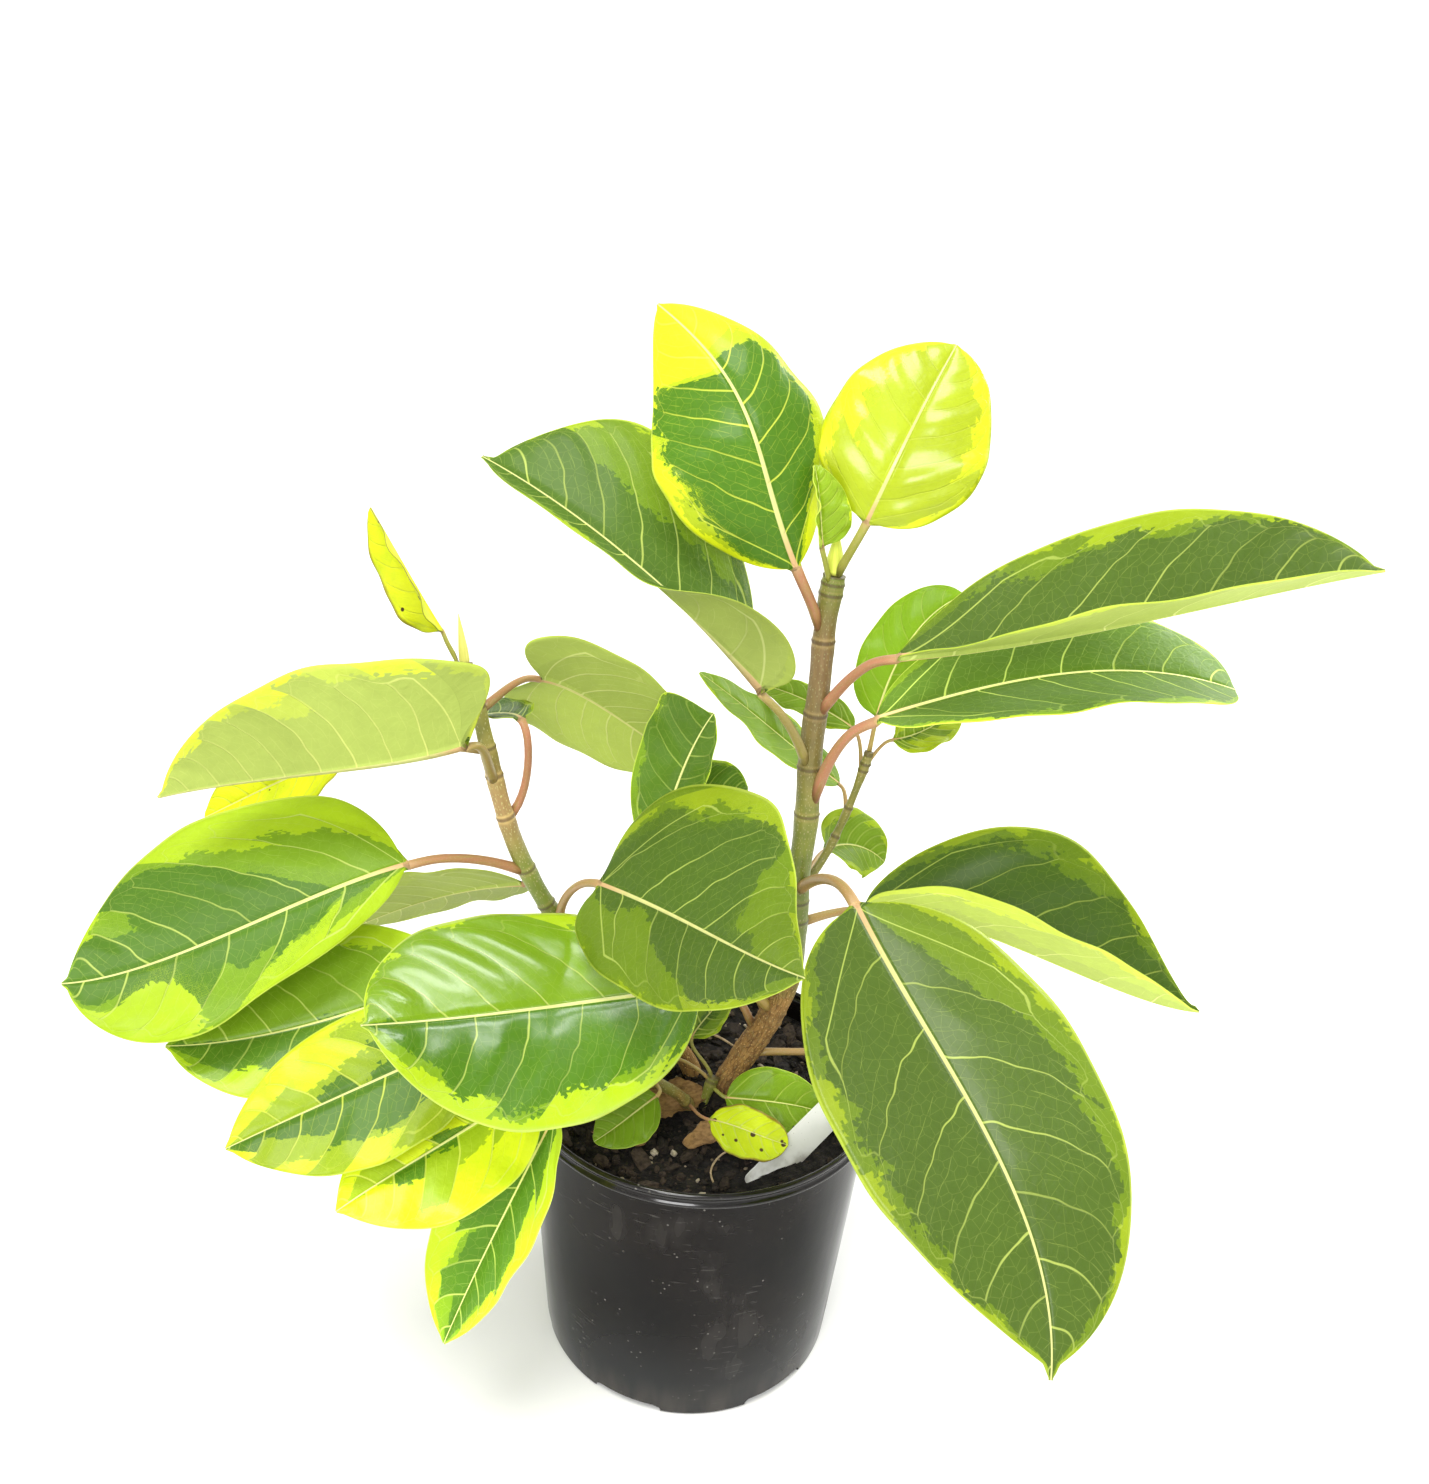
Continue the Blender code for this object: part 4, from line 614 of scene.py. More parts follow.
def leaf_material(name, colours, under, spotted=False):
    """Blade finish: stepped patches of green between the veins, with a net of fine veins, and a painted
    light and shade factor on each leaf.
    """
    m = Shader(name)
    across, along, rib, _ = m.attribute("blade")
    phase, spacing, outside, _ = m.attribute("vein")
    dark, green, patch, _ = m.attribute("reach")
    tone, yellow, spots, _ = m.attribute("skin")
    gloss, seed, bright, _ = m.attribute("gloss_green_and_painted_light")
    _, _, clear, flat = m.attribute("flat")

    edge = m.size(across)
    tooth = m.cells(flat, 4.6, output="Position")
    tooth_luck = m.part(tooth.node.outputs["Color"])
    broad = m.noise(tooth, 0.55, 2.0)
    second = m.noise(m.shift(tooth, (41.3, 17.9, 0)), 0.5, 1.0)
    mottle = m.noise(flat, 1.3, 2.0)
    between = m.whole(phase)
    luck = m.chance(m.plus(between, seed))
    other_luck = m.chance(m.plus(between, m.plus(seed, 31.7)))

    def within(reach, chance, field):
        jag = m.scaled(field, 0.42, -0.21)
        teeth = m.scaled(tooth_luck, 0.07, -0.035)
        step = m.times(m.minus(chance, 0.5), patch)
        line = m.plus(m.plus(edge, step), m.plus(jag, teeth))
        return m.ramp(m.minus(reach, line), 0.0, 0.012)

    in_dark = within(dark, luck, broad)
    in_green = within(green, other_luck, second)

    def shade(key):
        dull, young = colours[key]
        return m.mix(tone, dull, young)

    lime = m.mix(m.times(yellow, m.ramp(broad, 0.25, 0.6, 0.55, 1.0)), shade("lime"), YELLOW)
    green_tint = m.times(m.times(yellow, yellow), 0.6)
    body = m.mix(in_green, lime, m.mix(green_tint, shade("green"), YELLOW))
    body = m.mix(in_dark, body, shade("dark"))
    cell_tint = m.chance(m.times(between, 1.37))
    value = m.plus(m.ramp(cell_tint, 0, 1, 0.93, 1.07), m.scaled(mottle, 0.16, -0.08))

    wander = m.scaled(m.noise(flat, 0.9, 0.0), 0.14, -0.07)
    loose_phase = m.plus(phase, wander)

    def lines(multiple, width, softness):
        """Lines at each whole number of the phase times a multiple, width in mm."""
        position = m.times(loose_phase, multiple)
        off = m.size(m.minus(m.math("FRACT", m.plus(position, 0.5)), 0.5))
        distance = m.math("DIVIDE", m.times(off, spacing), multiple)
        return m.ramp(distance, width, m.plus(width, softness), 1.0, 0.0)

    inside = m.ramp(outside, -0.3, 0.6, 1.0, 0.0)
    side_width = m.scaled(edge, -0.24, 0.30)
    side = m.times(lines(1.0, side_width, 0.32), inside)
    faint = m.times(inside, m.ramp(mottle, 0.42, 0.58, 0.1, 1.0))
    thin_lines = lines(3.0, 0.02, 0.24)
    minor = m.times(thin_lines, faint)
    rim_width = m.ramp(along, 0.2, 0.45, 0.24, 0.08)
    rim_vein = m.ramp(m.size(outside), rim_width, m.plus(rim_width, 0.4), 1.0, 0.0)
    net = m.ramp(m.cells(flat, 2.1, "DISTANCE_TO_EDGE"), 0.004, 0.035, 1.0, 0.0)

    nearest = m.whole(m.plus(phase, 0.5))
    strength = m.ramp(m.chance(m.plus(nearest, seed)), 0.0, 0.5, 0.55, 1.0)
    drawn = m.times(m.times(side, strength), m.ramp(edge, 0.1, 0.85, 0.9, 0.55))
    drawn = m.most(drawn, m.times(rim_vein, m.ramp(along, 0.22, 0.45, 0.82, 0.30)))
    drawn = m.most(drawn, m.times(minor, 0.27))
    drawn = m.most(drawn, m.times(net, 0.17))
    drawn = m.times(drawn, m.times(clear, 0.75) if under else clear)
    vein = m.mix(m.times(yellow, 0.6), UNDER_VEIN if under else VEIN, YELLOW)
    body = m.mix(drawn, body, vein)
    body = m.mix(m.ramp(edge, 0.975, 0.99, 0.0, 0.7), body, EDGE_PALE)

    if spotted:
        places = m.shift(flat, (7.7, 3.1, 0))
        blotch = m.cells(places, 1.25)
        size = m.ramp(m.part(blotch.node.outputs["Color"]), 0.3, 1.0, -0.1, 0.22)
        spot = m.ramp(m.minus(blotch, m.times(size, spots)), -0.03, 0.03, 1.0, 0.0)
        body = m.mix(m.times(spot, m.ramp(spots, 0.05, 0.3)), body, (0.055, 0.035, 0.010))
        burnt = m.ramp(m.plus(edge, m.times(broad, 0.3)), 1.02, 1.12)
        body = m.mix(m.times(burnt, spots), body, (0.16, 0.075, 0.02))

    on_rib = m.ramp(m.size(rib), 0.46, 0.66, 1.0, 0.0)
    rib_colour = m.mix(m.ramp(along, 0.0, 0.16, 0.85, 0.0), RIB_CREAM, RIB_PINK)
    rib_colour = m.mix(m.ramp(mottle, 0.45, 0.75, 0.0, 0.35), rib_colour, (0.42, 0.36, 0.12))
    body = m.mix(m.times(on_rib, 0.92), body, rib_colour)
    # Painted light and shade: each leaf's brightness factor lifts leaves that lie in shade; value is the
    # random tone of each vein cell.
    body = m.tinted(body, m.times(value, bright))

    rough = m.ramp(gloss, 0.0, 1.0, 0.58, 0.28)
    rough = m.plus(rough, m.scaled(mottle, 0.16, -0.07))
    rough = m.plus(rough, m.times(on_rib, 0.12))
    if under:
        rough = m.plus(rough, 0.18)
    else:
        m.set(Coat_Weight=m.times(gloss, gloss), Coat_Roughness=0.18)

    groove = m.plus(m.times(side, 0.28), m.times(thin_lines, 0.08))
    groove = m.plus(groove, m.times(rim_vein, 0.16))
    if not under:
        groove = m.times(groove, -1.0)
    grain = m.noise(flat, 3.6, 1.0, 0.6)
    return m.set(Base_Color=body, Roughness=rough,
                 Normal=m.bump(m.scaled(grain, 0.42, groove), 0.75), Specular_IOR_Level=0.15)


def stalk_material():
    """Leaf stalk: pink brown streaks over yellow green, with pale pores."""
    m = Shader("leaf_stalk_finish")
    _, along, _, _ = m.attribute("blade")
    pink, _, _, _ = m.attribute("reach")
    tone, _, _, _ = m.attribute("skin")
    _, _, _, flat = m.attribute("flat")
    streak = m.noise(m.stretch(flat, (5.0, 0.7, 1)), 1.0, 3.0)
    share = m.times(m.ramp(streak, 0.2, 0.62, 0.55, 1.0), pink)
    green = m.mix(tone, (0.190, 0.200, 0.045), (0.330, 0.370, 0.050))
    body = m.mix(share, green, (0.420, 0.180, 0.092))
    body = m.mix(m.ramp(along, -1.0, -0.85, 0.45, 0.0), body, (0.16, 0.10, 0.045))
    body = m.mix(m.ramp(along, -0.15, 0.0, 0.0, 0.6), body, (0.50, 0.32, 0.15))
    pore = m.cells(m.stretch(flat, (1.0, 0.55, 1)), 9.0)
    pore = m.ramp(pore, 0.10, 0.2, 0.45, 0.0)
    body = m.mix(pore, body, (0.44, 0.34, 0.20))
    height = m.plus(m.times(pore, 0.10), m.times(streak, 0.16))
    return m.set(Base_Color=body, Roughness=m.ramp(streak, 0.3, 0.7, 0.36, 0.5), Specular_IOR_Level=0.45,
                 Normal=m.bump(height, 0.6))


def stem_material():
    """Stem: brown cracked bark low down, olive green above, leaf rings and tan pores, with painted light
    and shade along it.
    """
    m = Shader("stem_bark_finish")
    bark, ring, below, _ = m.attribute("stem")
    _, _, warm, flat = m.attribute("flat")
    bright, young, _, _ = m.attribute("gloss_green_and_painted_light")
    streak = m.noise(m.stretch(flat, (4.0, 0.8, 1)), 1.2, 4.0)
    patches = m.noise(flat, 0.9, 3.0)
    tint = m.chance(m.whole(below))
    olive = m.mix(tint, (0.200, 0.180, 0.038), (0.270, 0.230, 0.058))
    olive = m.mix(m.ramp(patches, 0.35, 0.65, 0.0, 0.7), olive, (0.110, 0.125, 0.024))
    olive = m.mix(young, olive, m.mix(patches, (0.200, 0.270, 0.030), (0.120, 0.165, 0.022)))
    olive = m.mix(warm, olive, m.mix(streak, (0.150, 0.080, 0.030), (0.340, 0.220, 0.090)))
    brown = m.mix(m.ramp(streak, 0.3, 0.65), (0.230, 0.115, 0.038), (0.480, 0.260, 0.080))
    woody = m.ramp(m.plus(bark, m.scaled(patches, 0.7, -0.35)), 0.25, 0.75)
    body = m.mix(woody, olive, brown)
    pores = m.cells(m.stretch(flat, (1.0, 0.62, 1)), 5.2)
    pore_size = m.scaled(pores.node.outputs["Color"], 0.16, 0.02)
    pore = m.ramp(m.minus(pores, pore_size), 0.0, 0.06, 1.0, 0.0)
    body = m.mix(m.times(pore, 0.75), body, m.mix(woody, (0.400, 0.370, 0.160), (0.950, 0.600, 0.240)))
    dashes = m.cells(m.shift(m.stretch(flat, (1.0, 0.28, 1)), (3.3, 8.1, 0)), 4.2)
    dash = m.ramp(dashes, 0.05, 0.12, 0.5, 0.0)
    body = m.mix(dash, body, (0.380, 0.350, 0.160))
    # Each leaf ring is a thin dark scar with a paler band beside it.
    scar = m.times(m.ramp(ring, 0.4, 1.1, 0.7, 0.0), m.ramp(woody, 0.4, 1.0, 1.0, 0.15))
    body = m.mix(scar, body, (0.100, 0.062, 0.028))
    pale = m.times(m.ramp(ring, 1.4, 3.4, 1.0, 0.0), m.ramp(ring, 0.9, 1.6))
    body = m.mix(m.times(pale, m.ramp(warm, 0.2, 0.9, 0.3, 0.8)), body, (0.400, 0.290, 0.110))
    crack = m.cells(m.stretch(flat, (1.0, 0.35, 1)), 5.0, "DISTANCE_TO_EDGE")
    crack = m.times(m.ramp(crack, 0.0, 0.12, -0.55, 0.0), woody)
    height = m.plus(m.plus(m.times(pore, 0.25), crack), m.times(streak, 0.45))
    # Painted light and shade: the brightness factor lightens or darkens the stem along its length.
    return m.set(Base_Color=m.tinted(body, bright),
                 Roughness=m.ramp(woody, 0.0, 1.0, 0.42, 0.82), Specular_IOR_Level=0.4,
                 Normal=m.bump(height, 0.9))


def bud_material():
    """Bud scale: pale lime with long ribs, browner at its foot."""
    m = Shader("bud_scale_finish")
    _, along, warm, _ = m.attribute("stem")
    _, _, _, flat = m.attribute("flat")
    rib = m.noise(m.stretch(flat, (9.0, 0.5, 1)), 1.0, 2.0)
    body = m.mix(warm, (0.72, 0.82, 0.085), (0.80, 0.68, 0.19))
    body = m.mix(m.ramp(rib, 0.4, 0.65, 0.0, 0.35), body, (0.46, 0.56, 0.06))
    body = m.mix(m.ramp(along, 0.0, 0.10, 0.55, 0.0), body, (0.20, 0.15, 0.05))
    return m.set(Base_Color=body, Roughness=m.ramp(rib, 0.3, 0.7, 0.36, 0.5),
                 Normal=m.bump(rib, 0.45))


def pot_material():
    """Thin black pot plastic: faint brown cast, fine orange peel, scuffs, dust and a painted reflection of
    the pale floor low on the wall.
    """
    m = Shader("pot_plastic_finish")
    place = m.place()
    height = m.part(place, "Z")
    broad = m.noise(place, 14.0, 3.0)
    smear = m.noise(m.stretch(place, (1, 1, 0.22)), 60.0, 3.0, 0.6)
    body = m.mix(m.ramp(broad, 0.35, 0.7), (0.0032, 0.0029, 0.0028), (0.0072, 0.0052, 0.0044))
    dust = m.ramp(m.times(smear, m.ramp(broad, 0.4, 0.75)), 0.30, 0.52, 0.0, 0.12)
    body = m.mix(dust, body, (0.12, 0.11, 0.10))
    specks = m.cells(place, 260.0, flat=False)
    lucky = m.ramp(m.noise(place, 55.0, 2.0), 0.56, 0.66)
    speck = m.times(m.ramp(specks, 0.10, 0.18, 1.0, 0.0), lucky)
    body = m.mix(m.times(speck, 0.35), body, (0.42, 0.40, 0.36))
    # Painted reflection: the wall turns greyer toward its foot, as if it mirrored the pale floor it stands
    # on.
    painted_floor_reflection = m.ramp(m.scaled(broad, 0.03, height), 0.02, 0.095, 0.32, 0.0)
    body = m.mix(painted_floor_reflection, body, (0.062, 0.066, 0.068))
    foot = m.ramp(height, 0.004, 0.03, 0.22, 0.0)
    body = m.mix(m.times(foot, m.ramp(smear, 0.3, 0.6)), body, (0.14, 0.12, 0.10))
    scratch = m.noise(m.stretch(place, (1, 1, 9)), 90.0, 2.0)
    scratched = m.times(m.ramp(scratch, 0.66, 0.70), m.ramp(broad, 0.5, 0.62))
    body = m.mix(m.times(scratched, 0.12), body, (0.30, 0.29, 0.27))
    rough = m.plus(m.ramp(broad, 0.3, 0.75, 0.09, 0.20), m.times(dust, 0.9))
    rough = m.plus(rough, m.times(m.ramp(smear, 0.35, 0.7), 0.08))
    peel = m.times(m.noise(place, 420.0, 1.0), 0.045)
    return m.set(Base_Color=body, Roughness=rough, Specular_IOR_Level=0.10,
                 Coat_Weight=m.ramp(height, 0.1605, 0.1625, 0.0, 0.7), Coat_Roughness=0.12,
                 Normal=m.bump(m.scaled(broad, 0.9, peel), 0.35))


def soil_material():
    """Dark potting mix with pale fibres and bits."""
    m = Shader("soil_finish")
    place = m.place()
    lumps = m.noise(place, 130.0, 4.0, 0.65)
    crumbs = m.cells(place, 420.0, flat=False)
    body = m.mix(m.ramp(lumps, 0.35, 0.7), (0.0050, 0.0045, 0.0042), (0.0200, 0.0168, 0.0140))
    fibre = m.noise(m.stretch(place, (1, 4, 1)), 260.0, 3.0)
    body = m.mix(m.ramp(fibre, 0.62, 0.74, 0.0, 0.6), body, (0.115, 0.072, 0.040))
    pale = m.ramp(m.cells(place, 300.0, flat=False, output="Color"), 0.93, 0.97)
    body = m.mix(m.times(pale, m.ramp(crumbs, 0.2, 0.4, 1.0, 0.0)), body, (0.30, 0.24, 0.17))
    height = m.plus(m.times(lumps, 2.2), m.times(crumbs, 0.8))
    return m.set(Base_Color=body, Roughness=m.ramp(lumps, 0.3, 0.7, 0.98, 0.8), Specular_IOR_Level=0.25,
                 Normal=m.bump(height, 1.0))


def chip_material(name, dark, light, roughness):
    """Bark chips, grains and dead leaf scraps: a base shade for each piece with grain along it."""
    m = Shader(name)
    shade, _, _, _ = m.attribute("scrap")
    place = m.place()
    grain = m.noise(m.stretch(place, (1, 1, 3)), 340.0, 5.0, 0.6)
    body = m.mix(shade, dark, light)
    body = m.mix(m.ramp(grain, 0.35, 0.7, 0.0, 0.65), body, tuple(0.45 * c for c in dark))
    stain = m.noise(place, 150.0, 2.0)
    middle = tuple(0.5 * (a + b) for a, b in zip(dark, light))
    body = m.mix(m.ramp(stain, 0.5, 0.72, 0.0, 0.5), body, middle)
    return m.set(Base_Color=body,
                 Roughness=m.ramp(grain, 0.3, 0.7, roughness, min(roughness + 0.15, 1.0)),
                 Specular_IOR_Level=0.3, Normal=m.bump(grain, 0.7))


def label_material():
    """White plastic plant label, left bare, with a little soil near its foot."""
    m = Shader("label_finish")
    place = m.place()
    height = m.part(place, "Z")
    haze = m.noise(place, 70.0, 4.0)
    body = m.mix(m.ramp(haze, 0.4, 0.7), (0.93, 0.93, 0.92), (0.87, 0.88, 0.86))
    dirt = m.times(m.ramp(height, 0.152, 0.166, 1.0, 0.0), m.ramp(haze, 0.35, 0.6))
    body = m.mix(m.times(dirt, 0.7), body, (0.16, 0.12, 0.08))
    speck = m.ramp(m.cells(place, 300.0, flat=False), 0.06, 0.12, 0.5, 0.0)
    body = m.mix(speck, body, (0.35, 0.32, 0.27))
    return m.set(Base_Color=body, Roughness=m.ramp(haze, 0.3, 0.7, 0.35, 0.5),
                 Normal=m.bump(haze, 0.12))


def plain_mesh(name, verts, faces, materials, slots=None, smooth=True):
    """A mesh piece in the scene, slots naming the material of each face."""
    mesh = bpy.data.meshes.new(name)
    mesh.from_pydata(np.asarray(verts).tolist(), [], faces)
    for material in materials:
        mesh.materials.append(material)
    if slots is not None:
        mesh.polygons.foreach_set("material_index", np.asarray(slots, np.int32))
    mesh.polygons.foreach_set("use_smooth", [smooth] * len(mesh.polygons))
    mesh.update()
    obj = bpy.data.objects.new(name, mesh)
    bpy.context.scene.collection.objects.link(obj)
    return obj


def layer(shape, *values):
    """Single numbers, rows, columns or grids as one grid of groups of numbers."""
    return np.stack([np.broadcast_to(v, shape) for v in values], -1)


def point_values(obj, name, values):
    """Three numbers for each vertex, read by the materials."""
    attribute = obj.data.attributes.new(name, "FLOAT_VECTOR", "POINT")
    attribute.data.foreach_set("vector", np.asarray(values, np.float32).ravel())


def corner_values(obj, name, left, right, on_right):
    """Three numbers for each face corner, from the left or the right half's values."""
    mesh = obj.data
    corners = np.zeros(len(mesh.loops), np.int32)
    mesh.loops.foreach_get("vertex_index", corners)
    totals = np.zeros(len(mesh.polygons), np.int32)
    mesh.polygons.foreach_get("loop_total", totals)
    side = np.repeat(on_right, totals)[:, None]
    values = np.where(side, right[corners], left[corners])
    attribute = mesh.attributes.new(name, "FLOAT_VECTOR", "CORNER")
    attribute.data.foreach_set("vector", values.astype(np.float32).ravel())


def midrib_at(leaf, s):
    """Points of the smooth curve through the four points of the midrib."""
    a, b, c, d = [np.array(p, float) * MM for p in leaf["midrib"]]
    s = s[:, None]
    return (a * (s - 1 / 3) * (s - 2 / 3) * (s - 1) * -4.5 + b * s * (s - 2 / 3) * (s - 1) * 13.5
            - c * s * (s - 1 / 3) * (s - 1) * 13.5 + d * s * (s - 1 / 3) * (s - 2 / 3) * 4.5)


def blade_frames(leaf, s):
    """Midrib points with the forward, upward and rightward directions of the blade."""
    ahead = midrib_at(leaf, s + 0.001) - midrib_at(leaf, s - 0.001)
    ahead /= np.linalg.norm(ahead, axis=1)[:, None]
    face = aim(*leaf["face"])
    up = face - ahead * (ahead @ face)[:, None]
    up /= np.linalg.norm(up, axis=1)[:, None]
    right = np.cross(ahead, up)
    turn = np.radians(keyed(leaf["roll"], s))[:, None]
    up = np.cos(turn) * up + np.sin(turn) * right
    return midrib_at(leaf, s), ahead, up, np.cross(ahead, up)


def half_shape(s, peak, foot, tip):
    """Width of one half of a blade along its length, 1 at the widest place."""
    g = 2 * np.clip(s, 0, 1) ** (math.log(0.5) / math.log(peak)) - 1
    low = np.clip(1 - np.abs(g) ** 2.1, 0, 1) ** foot
    high = np.clip(1 - g ** 2, 0, 1) ** tip
    return np.where(g < 0, low, high)


def blade_columns(count):
    """Signed columns from the left edge to the right: up to 1 on the rib, and 1 to 2 on the blade."""
    out = np.linspace(0, 1, count + 1)[1:] ** 0.9
    half = np.concatenate([RIB_COLUMNS[1:], 1 + out])
    return np.concatenate([-half[::-1], [0], half])


def blade_grid(leaf, s, columns, rng):
    """Upper and lower points of the blade with the pattern values of each, rows along s."""
    mid, ahead, up, right = blade_frames(leaf, s)
    foot, tip = leaf["full"]
    length = np.linalg.norm(np.diff(mid, axis=0), axis=1).sum()
    rib = leaf["stalk"] * MM * (0.80 - 0.60 * s)
    turns = rng.uniform(0, 2 * math.pi, 6)
    shapes = {"upper": [], "lower": [], "t": [], "phase": [], "outside": [], "rib": [], "x": [], "y": []}
    for column in columns:
        side = 1 if column > 0 else 0
        sign = 1.0 if column > 0 else -1.0
        core = np.clip(s / (1 - leaf["nib"]), 0, 1)
        width = half_shape(core, pair(leaf["peak"])[side], pair(foot)[side], pair(tip)[side])
        width = width * keyed(leaf["trim"][side], s)
        ripple = 1 + 0.012 * np.sin(9 * s + turns[side]) + 0.008 * np.sin(23 * s + turns[side + 2])
        width = width * leaf["half"][side] * MM * ripple
        point = leaf["nib_width"] * MM * np.clip((1 - s) / leaf["nib"], 0.05, 1) ** 0.8
        width = np.maximum(np.hypot(width, point), 0.7 * MM + rib * 0.35)
        inner = np.minimum(RIB_REACH * rib, 0.34 * width)
        if abs(column) <= 1:
            reach = inner * abs(column)
        else:
            reach = inner + (width - inner) * (abs(column) - 1)
        share = reach / width
        rise = np.radians(keyed(leaf["fold"][side], s))
        curl = np.radians(keyed(leaf["curl"][side], s)) * share
        curl = np.where(np.abs(curl) < 1e-6, 1e-6, curl)
        out = reach * (np.sin(rise + curl) - np.sin(rise)) / curl
        high = reach * (np.cos(rise) - np.cos(rise + curl)) / curl
        back = leaf["lobe"][side] * share ** 1.5 * (1 - s) ** 4 * width / leaf["half"][side]
        place = mid + sign * out[:, None] * right + high[:, None] * up - back[:, None] * ahead
        slope = (rise + curl)[:, None]
        normal = np.cos(slope) * up - sign * np.sin(slope) * right
        if column == 0:
            normal = up
        # Side veins leave the rib at an angle and bend toward the tip near the edge.
        y = s - (leaf["slope"][side] + VEIN_BEND[side] * share) * reach / length - 0.04 * share ** 4
        phase = leaf["veins"] * (y + 0.22 * y * y) + (RIGHT_PHASE if column > 0 else 0.0)
        edge_vein = (0.80 + 0.06 * smooth_step(0.2, 0.5, s)) * np.clip(s / 0.22, 0, 1) ** 0.6
        edge_vein = edge_vein * (1 - 0.07 * smooth_step(0.15, 0.4, s) * np.cos(2 * math.pi * phase))
        outside = (share - edge_vein) * width / MM
        calm = smooth_step(0.0, 0.3, share) * (1 - smooth_step(0.8, 1.0, share))
        calm = calm * smooth_step(0.0, 0.12, s) * (1 - smooth_step(0.9, 1.0, s))
        between = np.sin(np.floor(phase) * 2.4 + turns[side] + 1.7 * (column > 0))
        quilt = leaf["quilt"] * MM * (0.5 - 0.5 * np.cos(2 * math.pi * phase)) * calm
        quilt = quilt * (0.75 + 0.45 * between) * (0.8 + 0.3 * np.sin(5 * share + turns[side + 2] + 3 * s))
        wave = np.sin(13 * s + turns[side + 1]) + 0.5 * np.sin(27 * s + turns[side + 4])
        wave = leaf["wave"] * MM * wave * share ** 2.5 * smooth_step(0, 0.15, s) * (1 - s ** 6)
        across_rib = reach / rib
        crown = 0.22 * rib * np.clip(1 - across_rib ** 2, 0, 1)
        crown = crown - 0.18 * MM * np.exp(-((across_rib - 1.2) / 0.25) ** 2) * (s < 0.97)
        swell = rib * (1.0 - 0.7 * s) * np.sqrt(np.clip(1 - (across_rib / 1.2) ** 2, 0, 1))
        thickness = BLADE_THICKNESS * (1 - 0.35 * smooth_step(0.9, 1.0, share))
        upper = place + normal * (quilt + wave + crown)[:, None]
        shapes["upper"].append(upper)
        shapes["lower"].append(place + normal * (quilt + wave - thickness - swell)[:, None])
        shapes["t"].append(sign * share)
        shapes["phase"].append(phase)
        shapes["outside"].append(outside)
        shapes["rib"].append(sign * across_rib)
        shapes["x"].append(sign * reach)
        shapes["y"].append(y)
    return {key: np.stack(value, 1) for key, value in shapes.items()}


def stem_place(name, height):
    """Centre, direction and radius of a stem at a height in mm."""
    path = smooth_path(STEMS[name]["points"], 200)
    i = int(np.argmin(np.abs(path[:, 2] - height)))
    i = min(max(i, 1), len(path) - 2)
    return path[i, :3] * MM, unit(path[i + 1, :3] - path[i - 1, :3]), path[i, 3] * MM


def to_stem(points, along, root, axis, radius):
    """Slides points back along a direction until they meet a cylinder."""
    flat = along - axis * (along @ axis)
    out = []
    for p in points:
        q = p - root
        q = q - axis * (q @ axis)
        a = flat @ flat
        b = q @ flat
        c = q @ q - radius ** 2
        out.append(p + along * (-b + math.sqrt(max(b * b - a * c, 0))) / a)
    return np.array(out)


def stalk_rings(leaf, per_ring, count):
    """Rings of the leaf stalk from its stem to the foot of the blade, and how far along each is."""
    root, stem_dir, stem_radius = stem_place(*leaf["on"])
    mid, ahead, up, _ = (v[0] for v in blade_frames(leaf, np.zeros(1)))
    chord = mid - root
    span = np.linalg.norm(chord)
    leave = unit(unit(chord) + leaf["lift"] * 1.6 * stem_dir)
    a, b, c = root, root + leave * span * 0.38, mid - ahead * span * 0.30
    u = np.linspace(0, 1, STALK_STEPS)[:, None]
    path = (1 - u) ** 3 * a + 3 * (1 - u) ** 2 * u * b + 3 * (1 - u) * u ** 2 * c + u ** 3 * mid
    radius = leaf["stalk"] * MM
    clear = stem_radius - 0.35 * MM
    off = path - root
    off = off - (off @ stem_dir)[:, None] * stem_dir
    first = int(np.argmax(np.linalg.norm(off, axis=1) > clear + radius * 0.5))
    picks = np.unique(np.round(np.linspace(first, STALK_STEPS - 1, count + 1)).astype(int))[:-1]
    half = per_ring // 2
    turns = (np.arange(half) + 0.5) / half
    angles = math.pi * np.concatenate([1 - turns, -turns])
    rings, far = [], []
    n = up
    for k in reversed(picks):
        t = unit(path[min(k + 1, STALK_STEPS - 1)] - path[k - 1])
        n = unit(n - t * (t @ n))
        r = np.cross(t, n)
        w = k / (STALK_STEPS - 1)
        size = radius * (0.92 + 0.34 * (1 - w) ** 5 + 0.10 * w ** 8)
        flatten = 1 - 0.16 * smooth_step(0.3, 1.0, w)
        groove = 0.12 * smooth_step(0.4, 1.0, w) * np.exp(-((angles - math.pi / 2) / 0.55) ** 2)
        sink = 0.55 * radius * smooth_step(0.7, 1.0, w)
        reach = size * (1 - groove)
        over, high = reach * np.cos(angles), reach * np.sin(angles) * flatten
        rings.append(path[k] - n * sink + over[:, None] * r + high[:, None] * n)
        far.append(w)
    rings.reverse()
    far.reverse()
    t = unit(path[first + 1] - path[first - 1])
    both = to_stem(np.vstack([rings[0], path[first][None]]), t, root, stem_dir, clear)
    rings[0] = both[:-1]
    return rings, far, both[-1], angles * radius


